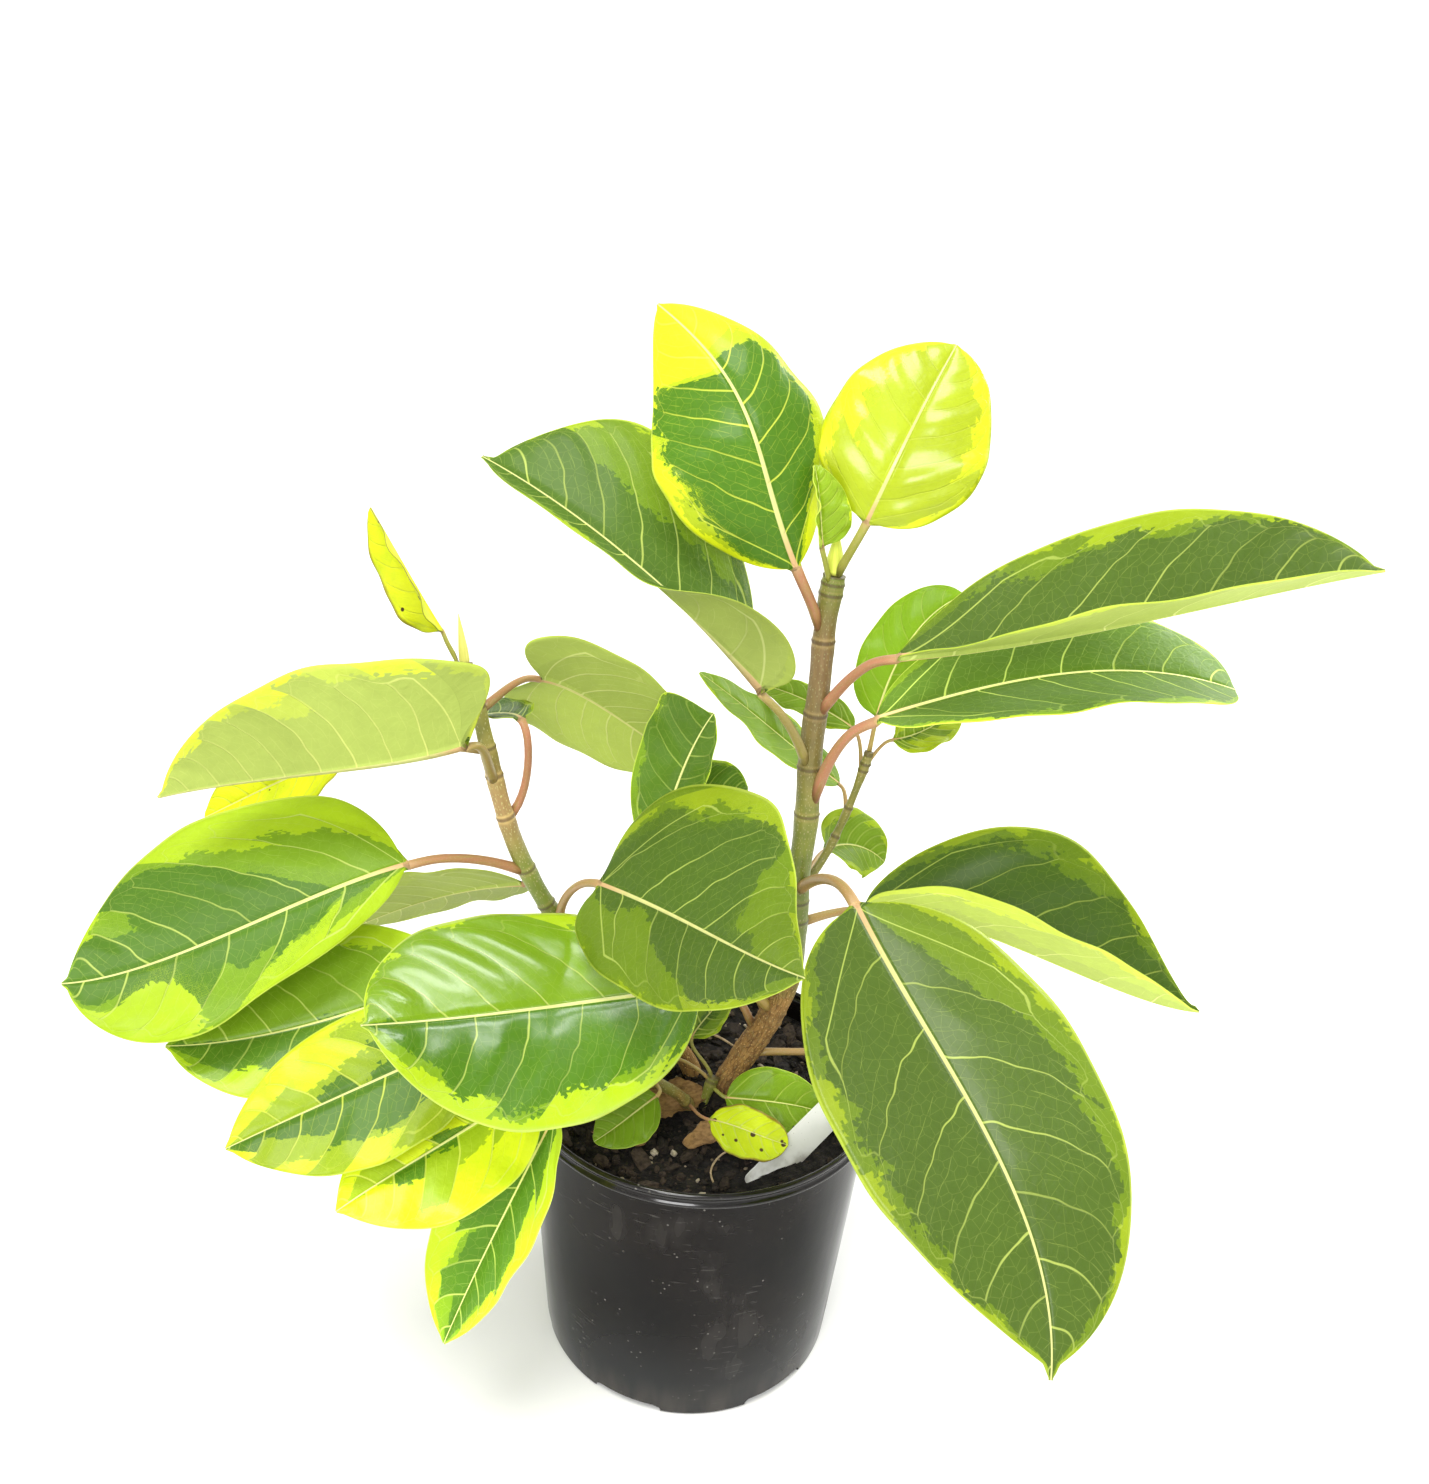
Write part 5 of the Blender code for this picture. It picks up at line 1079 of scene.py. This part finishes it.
def build_leaf(name, leaf, number, materials):
    """One leaf with its stalk: blade top, underside and stalk as three finishes on one mesh."""
    rng = np.random.default_rng(LEAF_SEED + number)
    ends = np.array(leaf["midrib"], float)
    length = np.linalg.norm(ends[3] - ends[0])
    row_count, side_count, ring_count = next(counts for least, counts in LEAF_MESHES if length >= least)
    columns = blade_columns(side_count)
    # Rows stand closer together near the foot and the tip.
    s = 0.5 - 0.5 * np.cos(np.linspace(0.04, 0.975, row_count) * math.pi)
    s = (s - s[0]) / (s[-1] - s[0]) * 0.994 + 0.004
    grid = blade_grid(leaf, s, columns, rng)
    wide = len(columns)
    per_ring = 2 * wide
    rings, far, foot, around = stalk_rings(leaf, per_ring, ring_count)
    blade = [np.vstack([grid["upper"][i], grid["lower"][i][::-1]]) for i in range(row_count)]
    verts = np.vstack(rings + blade + [foot[None]])

    # Round a ring the columns run over the upper side and back under the blade.
    right_half = [k >= wide // 2 for k in range(wide - 1)]
    ring_right = right_half + right_half[-1:] + right_half[::-1] + right_half[:1]
    ring_slots = [TOP] * wide + [UNDER] * (wide - 1) + [TOP]
    faces, slots, on_right = [], [], []
    total = len(rings) + row_count
    for i in range(total - 1):
        faces += band(i * per_ring, (i + 1) * per_ring, per_ring)
        slots += [STALK] * per_ring if i < len(rings) - 1 else ring_slots
        on_right += ring_right
    faces += fan(len(verts) - 1, 0, per_ring)
    slots += [STALK] * per_ring
    on_right += [False] * per_ring
    last = (total - 1) * per_ring
    end = last + per_ring - 1
    faces += [(last + k, end - k, end - k - 1, last + k + 1) for k in range(wide - 1)]
    slots += [TOP] * (wide - 1)
    on_right += right_half
    obj = plain_mesh(name + "_fine", verts, faces, materials, slots)
    face_outward(obj)
    paint_leaf(obj, leaf, grid, s, np.array(far), around, number, np.array(on_right))
    return obj


def face_outward(obj):
    """Turns the faces outward when a closed mesh measures a negative volume."""
    mesh = obj.data
    mesh.calc_loop_triangles()
    index = np.zeros(len(mesh.loop_triangles) * 3, np.int32)
    mesh.loop_triangles.foreach_get("vertices", index)
    co = np.zeros(len(mesh.vertices) * 3)
    mesh.vertices.foreach_get("co", co)
    p = co.reshape(-1, 3)[index.reshape(-1, 3)]
    if np.einsum("ij,ij->i", p[:, 0], np.cross(p[:, 1], p[:, 2])).sum() < 0:
        mesh.flip_normals()


def paint_leaf(obj, leaf, grid, s, far, around, number, on_right):
    """Writes the values that the leaf finishes read: place on the blade, veins and colour reach."""
    seed = number * LUCK_STEP
    t, phase = grid["t"], grid["phase"]
    wide = t.shape[1]
    middle = wide // 2
    steps = np.linalg.norm(np.diff(midrib_at(leaf, s), axis=0), axis=1)
    along = np.repeat(np.concatenate([[0], np.cumsum(steps)])[:, None], wide, 1)

    # Millimetres from one whole phase to the next, worked out apart on the two halves.
    spacing = np.zeros_like(phase)
    for half in (slice(0, middle + 1), slice(middle, wide)):
        own = phase[:, half].copy()
        if half.start == middle:
            own[:, 0] += RIGHT_PHASE
        x, y = grid["x"][:, half], along[:, half]
        down = np.gradient(own, axis=0) / np.maximum(np.gradient(y, axis=0), 1e-6)
        over = np.gradient(own, axis=1) / np.maximum(np.gradient(x, axis=1), 1e-6)
        steep = np.sqrt(down ** 2 + over ** 2) * MM
        spacing[:, half] = 1 / np.maximum(steep, 1e-3)
    spacing = np.clip(spacing, 2, 80)

    def readings(from_right):
        """The blade's values, with the middle column read as the left or the right half's."""
        right = (t > 0) | ((t == 0) & from_right)
        reach = [np.where(right, keyed(leaf[key][1], grid["y"]), keyed(leaf[key][0], grid["y"]))
                 for key in ("dark", "green")]
        own = phase + np.where((t == 0) & from_right, RIGHT_PHASE, 0.0) + np.where(right, HALF_STEP, 0)
        across = grid["x"] / TEXTURE_STEP + PATTERN_STEP[0] * number
        ahead = along / TEXTURE_STEP + PATTERN_STEP[1] * number
        return {
            "blade": layer(t.shape, t, s[:, None], grid["rib"]),
            "vein": layer(t.shape, own, spacing, grid["outside"]),
            "reach": layer(t.shape, *reach, leaf["patch"]),
            "flat": layer(t.shape, across, ahead, leaf["clear"]),
            "skin": layer(t.shape, leaf["tone"], leaf["yellow"], leaf["spots"]),
            # Its third number is painted light and shade, a brightness factor for the whole leaf.
            "gloss_green_and_painted_light": layer(t.shape, leaf["gloss"], seed, leaf["bright"]),
        }

    ring = (len(far), len(around))
    far = far[:, None]
    # Stalk patterns are measured from an upright stem, also where the twig carries the leaf.
    carrier, height = leaf["on"]
    start = stem_place("main_stem" if carrier == "back_twig" else carrier, height)[0]
    stalk_length = np.linalg.norm(np.array(leaf["midrib"][0]) * MM - start)
    stalk_ahead = far * stalk_length / TEXTURE_STEP + number * STALK_PATTERN_STEP
    stalk = {
        "blade": layer(ring, np.sign(around), far - 1, 0),
        "vein": layer(ring, 0, 10, -5),
        "reach": layer(ring, leaf["pink"], 0, 0),
        "flat": layer(ring, around / TEXTURE_STEP, stalk_ahead, 0),
        "skin": layer(ring, leaf["tone"], 0, 0),
        "gloss_green_and_painted_light": layer(ring, leaf["gloss"], 0, 1),
    }
    sides = [readings(False), readings(True)]
    for key, rings in stalk.items():
        halves = []
        for values in sides:
            both = np.concatenate([values[key], values[key][:, ::-1]], 1)
            # Painted light and shade on the underside: the under factor lifts or darkens its brightness.
            if key == "gloss_green_and_painted_light":
                both[:, wide:, 2] *= leaf["under"]
            rows = rings.reshape(-1, 3)
            halves.append(np.vstack([rows, both.reshape(-1, 3), rows[:1]]))
        corner_values(obj, key, *halves, on_right)


def band(a, b, sides):
    """Quads between the two rings of vertices that start at a and at b."""
    return [(a + k, b + k, b + (k + 1) % sides, a + (k + 1) % sides) for k in range(sides)]


def fan(tip, a, sides):
    """Triangles between one vertex and the ring that starts at a."""
    return [(tip, a + k, a + (k + 1) % sides) for k in range(sides)]


def turned(faces):
    """The same faces seen from their other side."""
    return [(face[0],) + face[:0:-1] for face in faces]


def ring_tube(path, radii, sides):
    """Rings round a path as vertices, with quads and two end fans."""
    t = np.gradient(path, axis=0)
    t /= np.linalg.norm(t, axis=1)[:, None]
    n = unit(np.cross(t[0], [0.3, 1.0, 0.2]))
    angle = np.linspace(0, 2 * math.pi, sides, endpoint=False)
    verts = []
    for i, (p, d) in enumerate(zip(path, t)):
        n = unit(n - d * (d @ n))
        side = np.cross(d, n)
        r = np.broadcast_to(radii[i], angle.shape)
        verts.append(p + (r * np.cos(angle))[:, None] * n + (r * np.sin(angle))[:, None] * side)
    verts = np.vstack(verts + [path[:1], path[-1:]])
    foot = len(path) * sides
    faces = [face for i in range(len(path) - 1) for face in turned(band(i * sides, (i + 1) * sides, sides))]
    faces += turned(fan(foot, 0, sides)) + fan(foot + 1, foot - sides, sides)
    return verts, faces, angle


def tube_values(obj, name, shape, *values):
    """Three numbers for each vertex of a tube, each read along the tube, round it or both."""
    rings = layer(shape, *values)
    point_values(obj, name, np.vstack([rings.reshape(-1, 3), rings[0, :1], rings[-1, :1]]))


def leaf_joints(stem):
    """Heights in mm at which leaves leave a stem."""
    return sorted(leaf["on"][1] for leaf in LEAVES.values() if leaf["on"][0] == stem)


def stem_mesh(name, stem, joints, material):
    """One stem with ring scars above its leaf joints, slight swellings and an uneven skin."""
    rows, sides, seed = np.array(stem["points"], float), stem["sides"], stem["seed"]
    length = np.linalg.norm(np.diff(rows[:, :3], axis=0), axis=1).sum()
    count = int(length / STEM_STEP)
    path = smooth_path(rows, count)
    z = path[:, 2]
    far = np.linspace(0, length, count)
    rng = np.random.default_rng(STEM_SEED + seed)
    radii = np.repeat(path[:, 3:4], sides, 1)
    angle = np.linspace(0, 2 * math.pi, sides, endpoint=False)
    ring = np.full(count, 50.0)
    below = np.zeros(count)
    extra = [joints[0] - EXTRA_SCARS[0], joints[-1] + EXTRA_SCARS[1]] if joints else []
    for height in sorted(joints + extra):
        at = far[int(np.argmin(np.abs(z - height - 3.0)))]
        ring = np.minimum(ring, np.abs(far - at))
        below += far > at
        radii += 0.45 * np.exp(-((far - at) / 0.9) ** 2)[:, None]
        radii += 0.35 * np.exp(-((far - at + 4) / 5) ** 2)[:, None]
    for _ in range(5):
        k, f, p, q = rng.integers(1, 4), rng.uniform(0.03, 0.16), *rng.uniform(0, 6, 2)
        radii += 0.10 * np.sin(k * angle[None, :] + p) * np.sin(f * far[:, None] + q)
    verts, faces, angle = ring_tube(path[:, :3] * MM, radii * MM, sides)
    obj = plain_mesh(name + "_fine", verts, faces, [material])
    face_outward(obj)
    woody, warm, bright, young = (
        keyed(stem[key], far / length) for key in ("bark", "warm", "bright", "green"))
    around = angle * path[:, 3].mean() * MM / TEXTURE_STEP
    shape = (count, sides)
    tube_values(obj, "flat", shape, around + seed * 9, far[:, None] * MM / TEXTURE_STEP, warm[:, None])
    tube_values(obj, "stem", shape, woody[:, None], ring[:, None], below[:, None] + seed * 7)
    # The first of these numbers is painted light and shade along the stem.
    tube_values(obj, "gloss_green_and_painted_light", shape, bright[:, None], young[:, None], 0)
    return obj


def build_stems(material):
    """The stems, the shoots and the twig at the back."""
    pieces = {name: stem_mesh(name, stem, leaf_joints(name), material) for name, stem in STEMS.items()}
    twig = pieces.pop("back_twig")
    for name, piece in pieces.items():
        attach(piece, "root")
        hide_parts(name)
    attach(twig, "root")
    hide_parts("main_stem")


def build_buds(material):
    """The two pointed bud scales, each a tapered, faintly ribbed and slightly twisted cone."""
    for number, (name, (foot, tip, radius, warm)) in enumerate(BUDS.items()):
        foot, tip = np.array(foot) * MM, np.array(tip) * MM
        u = np.linspace(0, 1, BUD_RINGS)[:, None]
        shape = np.interp(u, [0, 0.08, 0.3, 0.6, 0.85, 1], [0.9, 1.08, 0.98, 0.62, 0.26, 0.05])
        angle = np.linspace(0, 2 * math.pi, BUD_SIDES, endpoint=False)
        radii = radius * MM * shape * (1 + 0.05 * np.cos(3 * angle + 1.6 * u))
        verts, faces, angle = ring_tube(foot + u * (tip - foot), radii, BUD_SIDES)
        obj = plain_mesh(name + "_fine", verts, faces, [material])
        face_outward(obj)
        shape = (BUD_RINGS, BUD_SIDES)
        tube_values(obj, "stem", shape, 0, u, warm)
        tube_values(obj, "flat", shape, angle * radius * MM / TEXTURE_STEP, u * 2.4 + number, 0)
        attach(obj, "root")
        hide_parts(name)


def lathe(name, profile, sides, materials):
    """Closed ring of revolution round the Z axis; points on the axis close the middle."""
    verts, rows, faces = [], [], []
    for radius, height in profile:
        if radius < 1e-9:
            rows.append([len(verts)] * sides)
            verts.append((0, 0, height))
        else:
            rows.append(list(range(len(verts), len(verts) + sides)))
            for k in range(sides):
                x = 2 * math.pi * k / sides
                verts.append((radius * math.cos(x), radius * math.sin(x), height))
    for a, b in zip(rows, rows[1:]):
        for k in range(sides):
            m = (k + 1) % sides
            face = []
            for index in (a[k], a[m], b[m], b[k]):
                if index not in face:
                    face.append(index)
            if len(face) > 2:
                faces.append(face)
    return plain_mesh(name, verts, faces, materials)


def wall_radius(height):
    """Outer radius of the pot's wall at a height."""
    return BODY_BASE_RADIUS + (BODY_TOP_RADIUS - BODY_BASE_RADIUS) * height / POT_HEIGHT


def arc(centre, radius, start, end, count):
    """Points of a round corner in the pot's profile, angles in degrees."""
    turn = np.radians(np.linspace(start, end, count))
    return [(centre[0] + radius * math.cos(x), centre[1] + radius * math.sin(x)) for x in turn]


def build_pot(material):
    """Blow-moulded pot with a rolled rim, a bead under it and drainage notches at its foot."""
    top, under = POT_HEIGHT, POT_HEIGHT - RIM_HEIGHT
    profile = [(0, FOOT_HOLLOW), (FOOT_HOLLOW_RADIUS, FOOT_HOLLOW), (FOOT_RING_RADIUS, 0)]
    profile += arc((BODY_BASE_RADIUS - FOOT_ROUND, FOOT_ROUND), FOOT_ROUND, -90, -5, 8)
    for k in range(1, 9):
        h = FOOT_ROUND + (under - FOOT_ROUND - 2 * MM) * k / 8
        profile.append((wall_radius(h), h))
    profile += arc((wall_radius(under) + BEAD_ROUND, under - 1 * MM), BEAD_ROUND, 180, 90, 4)
    profile += arc((RIM_RADIUS - RIM_ROUND, under + 1.1 * MM), RIM_ROUND, -80, 60, 8)
    profile += [(RIM_RADIUS - 1.5 * MM, under + 3.2 * MM), (RIM_RADIUS - 1.45 * MM, under + 4.2 * MM)]
    profile += arc((RIM_RADIUS - ROLL_ROUND - ROLL_INSET, top - ROLL_ROUND), ROLL_ROUND, -20, 180, 14)
    inner = RIM_RADIUS - 2 * ROLL_ROUND - ROLL_INSET
    profile += [(inner, top - 3 * MM), (inner - 1 * MM, top - 3.8 * MM)]
    profile += [(inner - 1.2 * MM, top - 5.2 * MM), (wall_radius(under) - WALL, under - 1 * MM)]
    profile += [(wall_radius(SOIL_LEVEL * 0.5) - WALL, SOIL_LEVEL * 0.5)]
    profile += [(wall_radius(FLOOR_THICKNESS) - WALL, FLOOR_THICKNESS), (0, FLOOR_THICKNESS)]
    pot = lathe("pot_fine", profile, POT_SIDES, [material])
    face_outward(pot)
    for k in range(NOTCH_COUNT):
        cut_notch(pot, math.radians(NOTCH_TURN + 360 * k / NOTCH_COUNT))
    pot.data.shade_smooth()
    pot.data.set_sharp_from_angle(angle=math.radians(50))
    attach(pot, "root")
    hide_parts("pot")


def prism(name, near, far, materials):
    """A closed solid between two outlines that have the same number of points."""
    n = len(near)
    faces = [tuple(range(n)), tuple(reversed(range(n, 2 * n)))] + band(0, n, n)
    obj = plain_mesh(name, near + far, faces, materials, smooth=False)
    face_outward(obj)
    return obj


def cut_notch(pot, turn):
    """One drainage notch with rounded upper corners, cut through the foot of the wall."""
    corner, half = NOTCH_CORNER_RADIUS, NOTCH_WIDTH / 2
    line = [(-half, -NOTCH_HEIGHT), (half, -NOTCH_HEIGHT)]
    line += arc((half - corner, NOTCH_HEIGHT - corner), corner, 0, 90, 6)
    line += arc((corner - half, NOTCH_HEIGHT - corner), corner, 90, 180, 6)
    out = np.array([math.cos(turn), math.sin(turn), 0])
    side = np.array([-math.sin(turn), math.cos(turn), 0])
    near, far = ([out * reach + side * x + np.array([0, 0, z]) for x, z in line]
                 for reach in (BODY_BASE_RADIUS - NOTCH_DEPTH, BODY_BASE_RADIUS + 2 * NOTCH_DEPTH))
    cutter = prism("notch", near, far, [])
    step = pot.modifiers.new("notch", "BOOLEAN")
    step.operation = "DIFFERENCE"
    step.solver = "EXACT"
    step.object = cutter
    bpy.context.view_layer.objects.active = pot
    bpy.ops.object.modifier_apply(modifier=step.name)
    bpy.data.objects.remove(cutter, do_unlink=True)


def soil_height(x, y):
    """Uneven soil: broad swells, small lumps and a shallow rise round the stems."""
    p = Vector((x, y, 0))
    broad = noise.fractal(p * 28, 1.0, 2.0, 3)
    small = noise.fractal(p * 170 + Vector((3, 7, 1)), 0.8, 2.0, 3)
    r = math.hypot(x, y) / BODY_TOP_RADIUS
    mound = SOIL_MOUND * math.exp(-((x - MOUND_PLACE) ** 2 + y ** 2) / MOUND_RADIUS ** 2)
    return SOIL_LEVEL - SOIL_DIP * r + SOIL_SWELL * broad + SOIL_LUMP * small + mound


def build_soil(material):
    """The uneven top of the soil, with a skirt and a closed underside."""
    edge = wall_radius(SOIL_LEVEL) - WALL - 0.4 * MM
    verts = []
    for i in range(SOIL_RINGS + 1):
        r = edge * i / SOIL_RINGS
        for k in range(SOIL_SIDES if i else 1):
            x = 2 * math.pi * k / SOIL_SIDES + 0.2 * math.sin(i)
            px, py = r * math.cos(x), r * math.sin(x)
            verts.append((px, py, soil_height(px, py)))
    skirt = len(verts)
    verts += [(x, y, SOIL_LEVEL - SKIRT_DEPTH) for x, y, _ in verts[-SOIL_SIDES:]]
    verts.append((0, 0, SOIL_LEVEL - SKIRT_DEPTH))
    faces = fan(0, 1, SOIL_SIDES) + turned(fan(len(verts) - 1, skirt, SOIL_SIDES))
    for a in range(1, skirt, SOIL_SIDES):
        faces += band(a, a + SOIL_SIDES, SOIL_SIDES)
    soil = plain_mesh("soil_fine", verts, faces, [material])
    face_outward(soil)
    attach(soil, "root")
    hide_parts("soil")


def ball(rows, sides):
    """A unit ball as vertices and faces."""
    verts = [(0, 0, 1)]
    for i in range(1, rows):
        a = math.pi * i / rows
        for k in range(sides):
            b = 2 * math.pi * k / sides
            verts.append((math.sin(a) * math.cos(b), math.sin(a) * math.sin(b), math.cos(a)))
    verts.append((0, 0, -1))
    last = len(verts) - 1
    faces = fan(0, 1, sides)
    for a in range(1, last - sides, sides):
        faces += band(a, a + sides, sides)
    faces += [(a, last, b) for _, a, b in fan(last, last - sides, sides)]
    return np.array(verts, float), faces


def covers_label(x, y):
    """Whether a lump at this place would lie on the label or hide its foot."""
    along = unit(np.array(LABEL_ALONG[:2], float))
    away = np.array([x, y]) - np.array(LABEL_CORNER[:2]) * MM
    forward, aside = away @ along, along[0] * away[1] - along[1] * away[0]
    return -5 * MM < forward < LABEL_LENGTH and -14 * MM < aside < 5 * MM


def scatter(name, count, size, squash, boxy, seed, sink, material, slot):
    """Lumps lying on the soil: many small closed shapes joined in one piece."""
    rng = np.random.default_rng(seed)
    base, base_faces = ball(6, 8)
    reach = wall_radius(SOIL_LEVEL) - WALL - 4 * MM
    verts, faces, shades = [], [], []
    for _ in range(count):
        r = reach * math.sqrt(rng.uniform(0, 1))
        a = rng.uniform(0, 2 * math.pi)
        x, y = r * math.cos(a), r * math.sin(a)
        if covers_label(x, y):
            continue
        long = size * (0.45 + 1.1 * rng.uniform() ** 2.2) * MM
        scale = np.array([long, long * rng.uniform(*squash[0]), long * rng.uniform(*squash[1])])
        shape = np.sign(base) * np.abs(base) ** boxy
        shape = shape * (1 + 0.16 * rng.standard_normal((len(base), 1)))
        turn = Matrix.Rotation(rng.uniform(0, 6.3), 3, "Z") @ Matrix.Rotation(rng.normal(0, 0.35), 3, "X")
        turn = turn @ Matrix.Rotation(rng.normal(0, 0.3), 3, "Y")
        placed = (shape * scale) @ np.array(turn).T
        lift = soil_height(x, y) + scale[2] * (1 - sink)
        start = len(verts)
        verts += (placed + np.array([x, y, lift])).tolist()
        faces += [tuple(start + i for i in f) for f in base_faces]
        shades += [rng.uniform()] * len(base)
    obj = plain_mesh(name, verts, faces, [material], smooth=boxy > 0.9)
    point_values(obj, "scrap", layer(len(verts), shades, 0, 0))
    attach(obj, "root")


def curved_scrap(name, corner, along, across, size, roll, seed, material):
    """A dead leaf scrap: a thin curled sheet with a ragged outline, lying on the soil."""
    rng = np.random.default_rng(int(seed * 10))
    length, width, rise = np.array(size) * MM
    rows, cols = SCRAP_ROWS, SCRAP_COLUMNS
    along = unit(np.array(along, float))
    across = np.array(across, float)
    across = unit(across - along * (across @ along))
    up = np.cross(along, across)
    up = up if up[2] > 0 else -up
    u, v = np.meshgrid(np.linspace(0, 1, rows), np.linspace(-1, 1, cols), indexing="ij")
    outline = np.sin(np.clip(u * 0.92 + 0.06, 0, 1) * math.pi) ** 0.5
    outline = outline * (1 + 0.10 * np.sin(u * 17 + seed) + 0.04 * rng.standard_normal(u.shape))
    bend = roll * v ** 2 + 0.14 * np.sin(5 * u + 2 * v + seed)
    corner = np.array(corner, float) * MM
    top = (corner + (u * length)[..., None] * along + (v * outline * width / 2)[..., None] * across
           + (rise * np.sin(u * math.pi) + bend * width * 0.5)[..., None] * up)
    verts = np.vstack([top.reshape(-1, 3), (top - SCRAP_THICKNESS * up).reshape(-1, 3)])
    n = rows * cols
    places = np.arange(n).reshape(rows, cols)
    faces = []
    for a in places[:-1, :-1].ravel().tolist():
        b = a + cols
        faces += [(a, b, b + 1, a + 1), (n + a, n + a + 1, n + b + 1, n + b)]
    edge = np.concatenate([places[0], places[1:, -1], places[-1, -2::-1], places[-2:0:-1, 0]]).tolist()
    faces += [(a, a + n, b + n, b) for a, b in zip(edge, edge[1:] + edge[:1])]
    obj = plain_mesh(name, verts, faces, [material])
    face_outward(obj)
    point_values(obj, "scrap", layer(len(verts), 0.5 + 0.4 * math.sin(seed), 0, 0))
    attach(obj, "root")


def soil_root(name, radius, points, material):
    """A thin pale root that surfaces and dips back into the soil."""
    rows = np.array([(x, y, soil_height(x * MM, y * MM) / MM + h, radius) for x, y, h in points])
    path = smooth_path(rows, 40)
    verts, faces, _ = ring_tube(path[:, :3] * MM, path[:, 3] * MM, 8)
    obj = plain_mesh(name, verts, faces, [material])
    point_values(obj, "scrap", layer(len(verts), 0.8, 0, 0))
    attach(obj, "root")


def build_label(material):
    """Bare plant label with rounded corners."""
    along = unit(np.array(LABEL_ALONG, float))
    down = np.array(LABEL_DOWN, float)
    down = unit(down - along * (along @ down))
    out = np.cross(along, down)
    corner = np.array(LABEL_CORNER) * MM
    near = LABEL_CORNER_RADIUS
    far, low = LABEL_LENGTH - near, LABEL_WIDTH - near
    outline = []
    for centre, start in (((near, near), 180), ((far, near), 270), ((far, low), 0), ((near, low), 90)):
        outline += arc(centre, near, start, start + 90, 7)
    back, front = ([corner + x * along + y * down + depth * out for x, y in outline]
                   for depth in (0, LABEL_THICKNESS))
    obj = prism("plant_label_fine", back, front, [material])
    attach(obj, "root")
    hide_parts("plant_label")


def build_leaves():
    """Each leaf of the table, a few with brown spots."""
    top = leaf_material("leaf_top_finish", TOP_COLOURS, False)
    under = leaf_material("leaf_under_finish", UNDER_COLOURS, True)
    spotted = leaf_material("leaf_spotted_finish", TOP_COLOURS, False, True)
    stalk = stalk_material()
    for number, (name, leaf) in enumerate(LEAVES.items()):
        face = spotted if leaf["spots"] else top
        piece = build_leaf(name, leaf, number, [face, under, stalk])
        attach(piece, "root")
        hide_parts(name)


def build_litter():
    """Loose lumps, dead leaf scraps and thin roots on the soil."""
    bark, grain, dead, root = (chip_material(name, *look) for name, look in LITTER.items())
    for name, lumps in LUMPS.items():
        scatter(name, *lumps, grain if name == "soil_grains" else bark, "potting_soil")
    for name, scrap in SCRAPS.items():
        curved_scrap(name, *scrap, dead)
    for name, (radius, points) in ROOTS.items():
        soil_root(name, radius, points, root)


def build_studio():
    """Plain pale floor that curves up all round, and soft lights."""
    flat = STUDIO_RADIUS - STUDIO_BEND
    profile = [(flat * k / 4, 0) for k in range(4)]
    profile += arc((flat, STUDIO_BEND), STUDIO_BEND, -90, 0, 24)
    profile.append((STUDIO_RADIUS, STUDIO_HEIGHT))
    m = Shader("studio_paint")
    tint = m.noise(m.place(), 1.2, 0.0)
    paint = m.mix(tint, (0.91, 0.912, 0.905), (0.93, 0.93, 0.925))
    finish = m.set(Base_Color=paint, Roughness=0.7, Specular_IOR_Level=0.2)
    studio = lathe("studio", profile, STUDIO_SIDES, [finish])

    world = bpy.data.worlds.new("studio_world")
    bpy.context.scene.world = world
    world.use_nodes = True
    sky = world.node_tree.nodes["Background"]
    sky.inputs["Color"].default_value = (1, 1, 1, 1)
    sky.inputs["Strength"].default_value = WORLD_STRENGTH
    add_light("sun", "SUN", SUN_STRENGTH, (0, 0, 0), [-v for v in aim(*SUN_AIM)],
              angle=math.radians(SUN_SPREAD), color=SUN_COLOUR)
    for name, (place, size, power) in LAMPS.items():
        lamp = add_light(name, "AREA", power, place, Vector(LAMP_TARGET) - Vector(place),
                         shape="SQUARE", size=size)
        lamp.visible_camera = False


def add_light(name, kind, power, place, look, **settings):
    """A light at a place that shines along a direction."""
    data = bpy.data.lights.new(name, kind)
    data.energy = power
    for key, value in settings.items():
        setattr(data, key, value)
    light = bpy.data.objects.new(name, data)
    light.location = place
    light.rotation_euler = Vector(look).to_track_quat("-Z", "Y").to_euler()
    bpy.context.scene.collection.objects.link(light)
    return light


def build_camera():
    """The camera that the picture was taken with."""
    data = bpy.data.cameras.new("camera")
    data.sensor_width = SENSOR
    data.lens = SENSOR * FOCAL_PIXELS / PICTURE_HEIGHT
    camera = bpy.data.objects.new("camera", data)
    down, roll = math.radians(CAMERA_DOWN), math.radians(CAMERA_ROLL)
    look = Vector((0, math.cos(down), -math.sin(down)))
    level = Vector((1, 0, 0))
    up = level.cross(look)
    right = math.cos(roll) * level + math.sin(roll) * up
    upward = -math.sin(roll) * level + math.cos(roll) * up
    turn = Matrix((right, upward, -look)).transposed()
    camera.matrix_world = Matrix.Translation(CAMERA_PLACE) @ turn.to_4x4()
    bpy.context.scene.collection.objects.link(camera)
    bpy.context.scene.camera = camera
    bpy.context.scene.view_settings.view_transform = "Standard"
    bpy.context.scene.cycles.max_bounces = LIGHT_BOUNCES


def write_sizes():
    """Updates the scene."""
    bpy.context.view_layer.update()


build_camera()
build_studio()
build_pot(pot_material())
build_soil(soil_material())
build_litter()
build_label(label_material())
build_stems(stem_material())
build_buds(bud_material())
build_leaves()
write_sizes()
